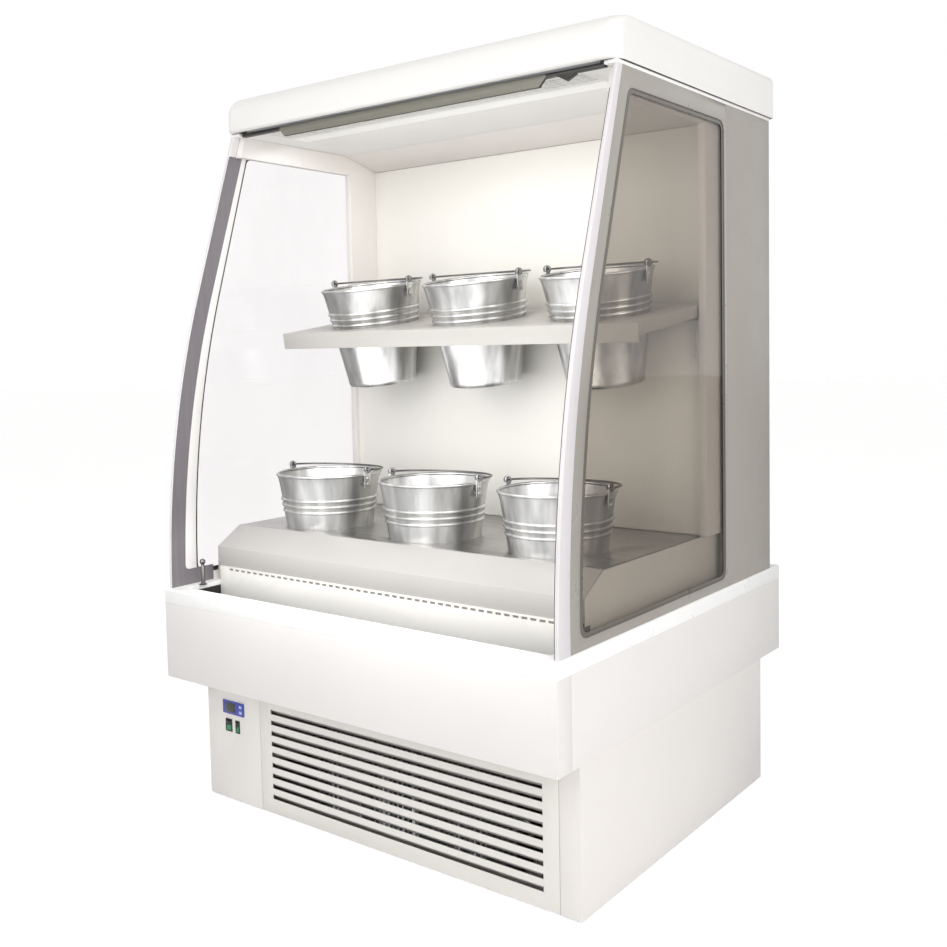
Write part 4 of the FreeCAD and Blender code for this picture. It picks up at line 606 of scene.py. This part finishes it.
def addEar(bm, way):
    pin = earSet["pin"]
    x = earSet["x"]
    thick = earSet["thickness"]
    fresh = []
    outer = bmesh.ops.create_circle(bm, segments=28, radius=earSet["eye"])["verts"]
    inner = bmesh.ops.create_circle(bm, segments=28, radius=earSet["hole"])["verts"]
    edges = inOrder(e for v in outer + inner for e in v.link_edges)
    ring = bmesh.ops.bridge_loops(bm, edges=edges)["faces"]
    lifted = pointsOf(bmesh.ops.extrude_face_region(bm, geom=ring)["geom"])
    bmesh.ops.translate(bm, vec=(0, 0, thick), verts=lifted)
    fresh += outer + inner + lifted
    bmesh.ops.recalc_face_normals(bm, faces=inOrder(f for v in fresh for f in v.link_faces))
    bmesh.ops.transform(bm, matrix=Matrix.Translation((x, 0, pin)) @ Matrix.Rotation(math.radians(90), 4, "Y"),
                        verts=fresh)
    count = len(bm.verts)
    addBlock(bm, (x, -earSet["width"] / 2, -earSet["drop"]), (x + thick, earSet["width"] / 2, pin - earSet["neck"]),
             earSet["bevel"])
    shank = earSet["shank"]
    head = earSet["head"]
    proud = earSet["headProud"]
    for z in earSet["rivets"]:
        start = wallRadius(-z) - 1
        place = Matrix.Translation((0, 0, z)) @ Matrix.Rotation(math.radians(90), 4, "Y")
        revolve(bm, [(0, start), (shank, start), (shank, x + thick), (head, x + thick),
                     (head - 0.2, x + thick + 1.0), (head - 1.6, x + thick + proud - 0.3), (0, x + thick + proud)],
                14, place)
    bm.verts.ensure_lookup_table()
    fresh += [v for v in bm.verts[count:]]
    if way < 0:
        bmesh.ops.rotate(bm, verts=[v for v in fresh if v.is_valid], cent=(0, 0, 0),
                         matrix=Matrix.Rotation(math.pi, 3, "Z"))


def makeBucketMesh():
    bm = bmesh.new()
    for way in (1, -1):
        ear = bmesh.new()
        addEar(ear, way)
        part = bpy.data.meshes.new("ear")
        bmesh.ops.scale(ear, vec=(mm, mm, mm), verts=ear.verts)
        ear.to_mesh(part)
        ear.free()
        bm.from_mesh(part)
    revolve(bm, bucketProfile(), bucketSet["steps"])
    mesh = bpy.data.meshes.new("bucketForm")
    bm.to_mesh(mesh)
    bm.free()
    return mesh


def makeBailMesh():
    bm = bmesh.new()
    wire = bailSet["wire"]
    side = bailSet["side"]
    corner = bailSet["corner"]
    ring = bmesh.ops.create_circle(bm, segments=10, radius=wire, cap_ends=True)["verts"]
    bmesh.ops.transform(bm, matrix=Matrix.Translation((earSet["x"] - bailSet["tail"], 0, 0))
                        @ Matrix.Rotation(math.radians(90), 4, "Y"), verts=ring)
    made = bmesh.ops.extrude_edge_only(bm, edges=bm.edges[:])["geom"]
    tip = pointsOf(made)
    bmesh.ops.translate(bm, vec=(side - corner - (earSet["x"] - bailSet["tail"]), 0, 0), verts=tip)
    loop = [g for g in made if isinstance(g, bmesh.types.BMEdge) and all(v in tip for v in g.verts)]
    made = bmesh.ops.spin(bm, geom=tip + loop, cent=(side - corner, corner, 0), axis=(0, 0, 1),
                          angle=math.pi / 2, steps=5)["geom_last"]
    tip = pointsOf(made)
    before = set(bm.verts) - set(tip)
    bmesh.ops.spin(bm, geom=made, cent=(0, corner, 0), axis=(0, 0, 1), angle=math.pi / 2, steps=26)
    bow = [v for v in bm.verts if v not in before]
    for v in bow:
        v.co.y = corner + (v.co.y - corner) * (bailSet["reach"] - corner) / side
    bmesh.ops.mirror(bm, geom=bm.verts[:] + bm.edges[:] + bm.faces[:], axis="X", merge_dist=0.01)
    bmesh.ops.remove_doubles(bm, verts=bm.verts, dist=0.01)
    bmesh.ops.recalc_face_normals(bm, faces=bm.faces)
    for way in (1, -1):  # the wire's curled ends
        curl = bmesh.new()
        revolve(curl, [(bailSet["curl"] + wire * math.cos(a), wire * math.sin(a))
                       for a in [math.tau * k / 12 for k in range(13)]], 24,
                Matrix.Translation((way * (earSet["x"] + earSet["thickness"] / 2), 0, 0))
                @ Matrix.Rotation(math.radians(90), 4, "X")
                @ Matrix.Rotation(math.radians(bailSet["curlTurn"]), 4, "Y"))
        part = bpy.data.meshes.new("curl")
        curl.to_mesh(part)
        curl.free()
        bm.from_mesh(part)
    drop = math.asin((earSet["pin"] - wire - bailSet["gap"]) / bailSet["reach"])  # the bow rests on the rim
    bmesh.ops.rotate(bm, verts=bm.verts, cent=(0, 0, 0), matrix=Matrix.Rotation(-drop, 3, "X"))
    bmesh.ops.translate(bm, vec=(0, 0, earSet["pin"]), verts=bm.verts)
    bmesh.ops.scale(bm, vec=(mm, mm, mm), verts=bm.verts)
    mesh = bpy.data.meshes.new("bailForm")
    bm.to_mesh(mesh)
    bm.free()
    return mesh


def makeBuckets():
    bucketMesh = makeBucketMesh()
    bailMesh = makeBailMesh()
    joints = {j["name"]: j for j in frame["joints"]}
    for number in range(1, 7):
        axis = Vector(joints["bucket_%d_lift" % number]["axis"])
        pivot = Vector(joints["bail_%d_swing" % number]["pos_m"])
        tilt = math.atan2(-axis.y, axis.z)
        place = Matrix.Translation(pivot - axis * earSet["pin"] * mm) @ Matrix.Rotation(tilt, 4, "X")
        for mesh, body, name, finish, slot in ((bucketMesh, "bucket", "pail", "zinc", "bucket_zinc"),
                                               (bailMesh, "bail", "handle", "wireSteel", "bail_wire")):
            bm = bmesh.new()
            bm.from_mesh(mesh)
            bmesh.ops.transform(bm, matrix=place, verts=bm.verts)
            node = "%s_%d" % (body, number)
            finishPiece(bm, "%s%d" % (name, number), finish, node, (node,))


# side panels: the front line, the seal and the band round each glass, in millimetres
panelSet = {"setback": 12.0, "radius": 2300.0, "lean": 17.5, "postLow": 40.0, "postHigh": 20.0, "front": 33.0,
            "top": 38.0, "bottom": 20.0, "rear": 12.0, "corner": 26.0, "cheek": 241.0, "steps": 26,
            "seal": 1.6, "flat": 0.5, "sealInset": -1.0, "band": 10.0, "bandGap": 0.1, "bandThickness": 0.3}
edgeSet = {"width": 40.0, "top": 48.0, "foot": 37.0, "reach": 133.0, "corner": 11.0, "thickness": 0.5,
           "lip": 0.6, "clear": 0.3, "steps": 30}


def frontBack(z, low):  # front line of a side panel, in millimetres
    lean = math.radians(panelSet["lean"])
    end = low + panelSet["radius"] * math.sin(lean)
    if z <= end:
        return panelSet["setback"] + panelSet["radius"] * (1 - math.sqrt(1 - ((z - low) / panelSet["radius"]) ** 2))
    return panelSet["setback"] + panelSet["radius"] * (1 - math.cos(lean)) + (z - end) * math.tan(lean)


def sealLine(x, spread):  # the glass opening's outline, made wider by spread
    low, high = (v.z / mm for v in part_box("side_posts"))
    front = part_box("belt_front")[0].y / mm
    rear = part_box("rear_body")[1].y / mm - panelSet["cheek"] - panelSet["rear"] + spread
    z0 = low + panelSet["bottom"] - spread
    z1 = high - panelSet["top"] + spread
    points = []
    count = panelSet["steps"]
    for k in range(count + 1):
        z = z0 + (z1 - z0) * k / count
        share = (z - low) / (high - low)
        depth = panelSet["postLow"] + (panelSet["postHigh"] - panelSet["postLow"]) * share
        points.append(Vector((x, front + frontBack(z, low) + depth + panelSet["front"] - spread, z)) * mm)
    points += [Vector((x, rear, z1)) * mm, Vector((x, rear, z0)) * mm]
    return roundedPath(points, (panelSet["corner"] + spread) * mm)


def makeSeals():
    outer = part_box("side_frames")[1].x / mm
    for way, side in ((1, "Right"), (-1, "Left")):
        line = sealLine(way * (outer - panelSet["flat"]), panelSet["sealInset"])
        tubeAlong(line, panelSet["seal"] * mm, "glassSeal" + side, "gasketGrey")


def makeGlassShadeBands():  # dark band round each glass: painted shade along the glass's edge
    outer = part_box("side_frames")[1].x / mm
    for way, side in ((1, "Right"), (-1, "Left")):
        x = way * (outer - panelSet["flat"] - panelSet["bandGap"])
        bm = bmesh.new()
        loops = [[bm.verts.new(v) for v in sealLine(x, -inset)] for inset in (panelSet["seal"], panelSet["band"])]
        count = len(loops[0])
        faces = [bm.faces.new((loops[0][i], loops[0][(i + 1) % count], loops[1][(i + 1) % count], loops[1][i]))
                 for i in range(count)]
        lifted = pointsOf(bmesh.ops.extrude_face_region(bm, geom=faces)["geom"])
        bmesh.ops.translate(bm, vec=(-way * panelSet["bandThickness"] * mm, 0, 0), verts=lifted)
        finishPiece(bm, "glassShadeBand" + side, "bandGrey", recalc=True)


def makeEdgeShadeStrips():  # dark band inside the front edge of each side panel: painted shade
    low, high = (v.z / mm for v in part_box("side_posts"))
    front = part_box("belt_front")[0].y / mm
    inner = min(abs(v.co.x) for v in frame["nodes"]["side_posts"].data.vertices) / mm
    top = high - edgeSet["top"]
    foot = low + edgeSet["foot"]
    corner = edgeSet["corner"]
    count = edgeSet["steps"]
    line = [low + (top - low) * k / count for k in range(count + 1)]
    for way, side in ((1, "Right"), (-1, "Left")):
        outline = [(front + frontBack(z, low) + edgeSet["lip"], z) for z in line]
        back = [z for z in reversed(line) if z > foot + corner]
        outline += [(front + frontBack(z, low) + edgeSet["width"], z) for z in back]
        start = front + frontBack(foot, low) + edgeSet["width"]
        outline += [(start + corner - c[0], foot + corner - c[1]) for c in arcPoints((0, 0), corner, 0, 90, 6)]
        outline += [(front + edgeSet["reach"], foot), (front + edgeSet["reach"], low + edgeSet["clear"])]
        bm = sidePlate(outline, way * inner, -way * edgeSet["thickness"])
        finishPiece(bm, "edgeShadeBand" + side, "postDark", recalc=True)


skirtSet = {"gap": 0.6, "thickness": 1.4, "inset": 2.0, "crease": 46.0, "shoulder": 71.0, "back": 708.5,
            "drop": 1.0, "clear": 0.3, "bevel": 0.4}


def makeSkirts():  # end plates under the deck and the nosing
    low, high = (v.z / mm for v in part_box("deck_nosing"))
    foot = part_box("belt_rail")[1].z / mm + skirtSet["clear"]
    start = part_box("deck_nosing")[0].y / mm
    nose = start + skirtSet["inset"]
    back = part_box("belt_front")[0].y / mm + skirtSet["back"]
    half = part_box("deck_nosing")[1].x / mm + skirtSet["gap"]
    top = high - skirtSet["drop"]
    outline = [(nose, foot), (nose, low + skirtSet["crease"]), (start + skirtSet["shoulder"], top), (back, top),
               (back, foot)]
    for way, side in ((1, "Right"), (-1, "Left")):
        bm = sidePlate(outline, way * half, way * skirtSet["thickness"])
        bmesh.ops.recalc_face_normals(bm, faces=bm.faces)
        soften(bm, skirtSet["bevel"] * mm)
        finishPiece(bm, "deckSkirt" + side, "linerCream", recalc=True)


slotSet = {"half": 500.0, "low": 545.5, "high": 554.3, "behind": 2.5, "thickness": 0.9, "bevel": 0.2}


def makeSlotShadeSheet():  # grey sheet close behind the riser's air slots: painted shade that sets how dark the slots look
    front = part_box("riser")[0].y / mm + slotSet["behind"]
    bm = bmesh.new()
    addBlock(bm, (-slotSet["half"] * mm, front * mm, slotSet["low"] * mm),
             (slotSet["half"] * mm, (front + slotSet["thickness"]) * mm, slotSet["high"] * mm),
             slotSet["bevel"] * mm)
    finishPiece(bm, "slotShadeSheet", "slotGrey")


# display panel: the window as shares of its size, the rest in millimetres
displaySet = {"proud": 3.0, "bezel": 1.1, "inset": 3.5, "overlap": 0.2, "bodyBevel": 1.0,
              "window": (-0.36, 0.1, -0.34, 0.36), "windowProud": 0.4, "windowDepth": 1.0, "windowBevel": 0.3}
digitSet = {"tall": 0.62, "first": 0.32, "pitch": 0.36, "half": 0.2, "thin": 0.05, "proud": 0.55, "depth": 0.3}
switchSet = {"keyBevel": 0.9, "frameBevel": 0.5, "rockerBevel": 0.5, "lens": 2.0}


def makeControls():
    low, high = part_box("controller")
    width = high.x - low.x
    tall = high.z - low.z
    inset = displaySet["inset"] * mm
    bm = bmesh.new()
    addBlock(bm, low, (high.x, low.y + displaySet["proud"] * mm, high.z), displaySet["bezel"] * mm, 3)
    addBlock(bm, (low.x + inset, low.y + (displaySet["proud"] - displaySet["overlap"]) * mm, low.z + inset),
             (high.x - inset, high.y, high.z - inset), displaySet["bodyBevel"] * mm)
    finishPiece(bm, "displayBody", "displayBlue", "cabinet", ("controller",))
    bm = bmesh.new()
    window = displaySet["window"]
    middle = (low.x + high.x) / 2
    x0, x1 = middle + window[0] * width, middle + window[1] * width
    z0, z1 = (low.z + high.z) / 2 + window[2] * tall, (low.z + high.z) / 2 + window[3] * tall
    addBlock(bm, (x0, low.y - displaySet["windowProud"] * mm, z0), (x1, low.y + displaySet["windowDepth"] * mm, z1),
             displaySet["windowBevel"] * mm)
    finishPiece(bm, "displayWindow", "displayWindow")
    bm = bmesh.new()
    digit = (z1 - z0) * digitSet["tall"]
    cz = (z0 + z1) / 2
    for number in range(2):  # two unlit digits
        cx = x0 + (x1 - x0) * (digitSet["first"] + digitSet["pitch"] * number)
        for dx, dz, flat in ((0, 0.5, 1), (0, 0, 1), (0, -0.5, 1), (-0.25, 0.25, 0), (0.25, 0.25, 0),
                             (-0.25, -0.25, 0), (0.25, -0.25, 0)):
            w = digit * digitSet["half" if flat else "thin"]
            h = digit * digitSet["thin" if flat else "half"]
            x = cx + dx * digit
            z = cz + dz * digit
            addBlock(bm, (x - w, low.y - digitSet["proud"] * mm, z - h),
                     (x + w, low.y - digitSet["depth"] * mm, z + h))
    finishPiece(bm, "displayDigits", "segmentOlive")
    for node in ("key_up", "key_down"):
        a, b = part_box(node)
        bm = bmesh.new()
        addBlock(bm, a, b, switchSet["keyBevel"] * mm, 3)
        finishPiece(bm, node.replace("_u", "U").replace("_d", "D"), "keyBlue", node, (node,))
    bm = copyNode("rocker_frames")
    soften(bm, switchSet["frameBevel"] * mm)
    finishPiece(bm, "switchFrames", "frameBlack", "cabinet", ("rocker_frames",))
    for node in ("rocker_power", "rocker_light"):
        bm = copyNode(node)
        soften(bm, switchSet["rockerBevel"] * mm)
        a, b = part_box(node)
        level = (a.z + b.z) / 2 + switchSet["lens"] * mm  # green lens below, black above
        for face in bm.faces:
            face.material_index = 0 if face.calc_center_median().z < level else 1
        finishPiece(bm, node.replace("_p", "P").replace("_l", "L"), ["rockerGreen", "rockerBlack"],
                    node, (node,))
    print("controls ready")


# night blind, in metres
gripSet = {"half": 0.382, "high": 0.0005, "low": 0.0205, "bevel": 0.0006}
rollSet = {"bore": 0.014, "hub": 0.016, "end": 0.004, "step": 0.001}
# each row of the hook is its radius and height in millimetres
hookSet = {"x": 0.507, "stem": ((0, 0), (9, 0), (9, 1.6), (6.5, 2.4), (5, 4), (5, 44), (4, 46), (4, 49)),
           "knobHeight": 55, "knob": 7}


def makeBlind():
    bm = copyNode("blind_bar")
    soften(bm, gripSet["bevel"])
    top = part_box("blind_bar")[1].z
    for face in bm.faces:  # olive grip; its downward faces take the dark finish as painted shade on the underside
        middle = face.calc_center_median()
        onGrip = abs(middle.x) < gripSet["half"] and gripSet["high"] < top - middle.z < gripSet["low"]
        face.material_index = 1 if onGrip and face.normal.z > -0.6 else 0
    finishPiece(bm, "pullBar", ["barDarkAndUnderShade", "gripOlive"], "blind_bar", ("blind_bar",))
    low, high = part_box("blind_roll")
    bm = bmesh.new()
    radius = (high.z - low.z) / 2
    half = (high.x - low.x) / 2
    turn = Matrix.Translation((low + high) / 2) @ Matrix.Rotation(math.radians(90), 4, "Y")
    end = rollSet["end"]
    side = [(rollSet["bore"], half), (rollSet["hub"], half), (rollSet["hub"], half - end),
            (radius - rollSet["step"], half - 1.5 * end), (radius, half - 2 * end)]
    revolve(bm, [(r, -x) for r, x in side] + side[::-1] + [(side[0][0], -half)], 40, turn)
    finishPiece(bm, "blindRoll", "blindCloth", "blind_roll", ("blind_roll",))
    low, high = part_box("blind_fabric")
    bm = bmesh.new()
    bmesh.ops.create_grid(bm, x_segments=2, y_segments=40, size=0.5)
    bmesh.ops.scale(bm, vec=(high.x - low.x, high.z - low.z, 1), verts=bm.verts)
    bmesh.ops.rotate(bm, verts=bm.verts, cent=(0, 0, 0), matrix=Matrix.Rotation(math.radians(90), 3, "X"))
    bmesh.ops.translate(bm, vec=(low + high) / 2, verts=bm.verts)
    bmesh.ops.solidify(bm, geom=bm.faces[:], thickness=clothSet["thickness"])
    mesh = bpy.data.meshes.new("blindSheet")
    bm.to_mesh(mesh)
    bm.free()
    mesh.materials.append(materials["blindCloth"])
    cloth = bpy.data.objects.new("blindSheet", mesh)
    bpy.context.scene.collection.objects.link(cloth)
    middle = ((low.x + high.x) / 2, (low.y + high.y) / 2)
    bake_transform(cloth)
    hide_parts("blind_fabric")
    low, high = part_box("blind_hooks")
    hook = list(hookSet["stem"]) + arcPoints((0, hookSet["knobHeight"]), hookSet["knob"], -55, 90, 9)
    for side, way in (("Left", -1), ("Right", 1)):
        bm = bmesh.new()
        revolve(bm, [(r * mm, z * mm) for r, z in hook], 28,
                Matrix.Translation((way * hookSet["x"], (low.y + high.y) / 2, low.z)))
        finishPiece(bm, "blindHook" + side, "wireSteel", "cabinet",
                    ("blind_hooks",) if side == "Left" else ())
    print("night blind ready")


def makeMachine():
    plain = {  # as (name, finish, slot, edge radius in millimetres)
        "levelling_feet": ("levellingFeet", "footSteel", "foot_steel", 0.5),
        "condenser_coil": ("condenserCoil", "finAluminium", "coil_aluminium", 0.0),
        "evaporator_coil": ("evaporatorCoil", "finAluminium", "coil_aluminium", 0.0),
        "fan_motors": ("fanMotors", "enamelBlack", "compressor_black", 0.8),
        "compressor": ("compressorShell", "enamelBlack", "compressor_black", 0.8),
        "compressor_mounts": ("compressorMounts", "rubberBlack", "mount_rubber", 0.6),
        "refrigerant_pipes": ("copperLines", "copper", "pipe_copper", 0.0),
        "electrical_box": ("electricalBox", "boxGrey", "box_grey", 0.8),
        "condenser_fan": ("condenserFan", "fanPlastic", "fan_plastic", 0.4),
        "evaporator_fan_left": ("evaporatorFanLeft", "fanPlastic", "fan_plastic", 0.4),
        "evaporator_fan_right": ("evaporatorFanRight", "fanPlastic", "fan_plastic", 0.4),
    }
    for node, (name, finish, slot, width) in plain.items():
        bm = copyNode(node)
        if width:
            soften(bm, width * mm)
        body = node if "_fan" in node and node in frame["bodies"] else "cabinet"
        finishPiece(bm, name, finish, body, (node,))


def makeGlass():
    bm = copyNode("side_glass")
    for face in bm.faces:  # only the outer faces carry the grey coat
        face.material_index = 0 if face.normal.x * face.calc_center_median().x > 0.1 else 1
    finishPiece(bm, "sideGlazing", ["glassOutside", "glassInside"], "cabinet", ("side_glass",))


# floor, light and background; a lamp is (place, aim, width, depth, power)
studioSet = {"ambient": 0.36, "air": (1, 0.995, 0.985, 1), "floorSize": 30.0, "floorGlow": 0.6, "floorRough": 0.8,
             "floorDark": "f1f1f1", "floor": "f5f5f5", "floorPatch": 1.5,
             "lamps": {"frontBox": ((0.2, -5.0, 1.5), (0, 0, 0.9), 4.6, 3.2, 50.0),
                       "highFront": ((0.2, -3.6, 2.9), (0, -0.3, 0.9), 2.8, 2.2, 40.0),
                       "rightFill": ((4.0, -1.0, 1.9), (0.4, 0, 0.9), 2.6, 2.6, 84.0),
                       "topSoft": ((-0.6, -1.2, 4.2), (0, 0, 0.8), 2.6, 2.6, 14.0),
                       "cabinetLamp": ((0, -0.16, 1.585), (0, 0.1, 0.7), 0.9, 0.12, 1.6),
                       "cabinetFill": ((0, -0.62, 1.1), (0, 0.3, 0.85), 0.9, 0.8, 1.7),
                       "lowerFill": ((0, -0.3, 0.96), (0, 0.2, 0.78), 0.9, 0.12, 0.7),
                       "gutterFill": ((0, -0.52, 0.63), (0, -0.36, 0.47), 1.0, 0.08, 0.42)}}


def makeStudio():
    bm = bmesh.new()
    bmesh.ops.create_grid(bm, x_segments=1, y_segments=1, size=studioSet["floorSize"])
    mesh = bpy.data.meshes.new("floor")
    bm.to_mesh(mesh)
    bm.free()
    floor = bpy.data.objects.new("floor", mesh)
    bpy.context.scene.collection.objects.link(floor)
    material, tree, shader = newFinish("floorPale")
    shader.inputs["Roughness"].default_value = studioSet["floorRough"]
    mottle = objectField(tree, studioSet["floorPatch"])
    tint = mixColours(tree, spreadRange(tree, mottle, 0.0, 1.0), linear(studioSet["floorDark"]),
                      linear(studioSet["floor"]))
    tree.links.new(tint, shader.inputs["Base Color"])
    rays = tree.nodes.new("ShaderNodeLightPath")  # seen directly, the floor is white
    shader.inputs["Emission Color"].default_value = (1, 1, 1, 1)
    seen = tree.nodes.new("ShaderNodeMath")
    seen.operation = "MULTIPLY"
    seen.inputs[1].default_value = studioSet["floorGlow"]
    tree.links.new(rays.outputs["Is Camera Ray"], seen.inputs[0])
    tree.links.new(seen.outputs[0], shader.inputs["Emission Strength"])
    mesh.materials.append(material)

    world = bpy.data.worlds.new("studio")
    bpy.context.scene.world = world
    world.use_nodes = True
    tree = world.node_tree
    tree.nodes.clear()
    out = tree.nodes.new("ShaderNodeOutputWorld")
    rays = tree.nodes.new("ShaderNodeLightPath")
    soft = addNode(tree, "ShaderNodeBackground", Color=studioSet["air"], Strength=studioSet["ambient"])
    white = addNode(tree, "ShaderNodeBackground", Color=(1, 1, 1, 1), Strength=1.0)
    shown = rays.outputs["Is Camera Ray"]
    for ray in ("Is Glossy Ray", "Is Transmission Ray"):  # metal and glass show the white background too
        either = tree.nodes.new("ShaderNodeMath")
        either.operation = "MAXIMUM"
        tree.links.new(shown, either.inputs[0])
        tree.links.new(rays.outputs[ray], either.inputs[1])
        shown = either.outputs[0]
    mix = tree.nodes.new("ShaderNodeMixShader")
    tree.links.new(shown, mix.inputs[0])
    tree.links.new(soft.outputs[0], mix.inputs[1])
    tree.links.new(white.outputs[0], mix.inputs[2])
    tree.links.new(mix.outputs[0], out.inputs["Surface"])

    for name, (place, aim, width, depth, power) in studioSet["lamps"].items():
        data = bpy.data.lights.new(name, "AREA")
        data.shape = "RECTANGLE"
        data.size = width
        data.size_y = depth
        data.energy = power
        lamp = bpy.data.objects.new(name, data)
        turn = (Vector(aim) - Vector(place)).to_track_quat("-Z", "Y").to_matrix().to_4x4()
        lamp.matrix_world = Matrix.Translation(place) @ turn
        bpy.context.scene.collection.objects.link(lamp)


makeCamera()
makeStudio()
print("studio ready")
makeSheetPieces()
makeCanopy()
makeBuckets()
print("buckets ready")
makeSeals()
makeGlassShadeBands()
makeEdgeShadeStrips()
makeSkirts()
makeSlotShadeSheet()
print("side panels and skirts ready")
makeControls()
makeBlind()
makeMachine()
print("machine parts ready")
makeGlass()

bpy.context.scene.view_settings.view_transform = "Standard"
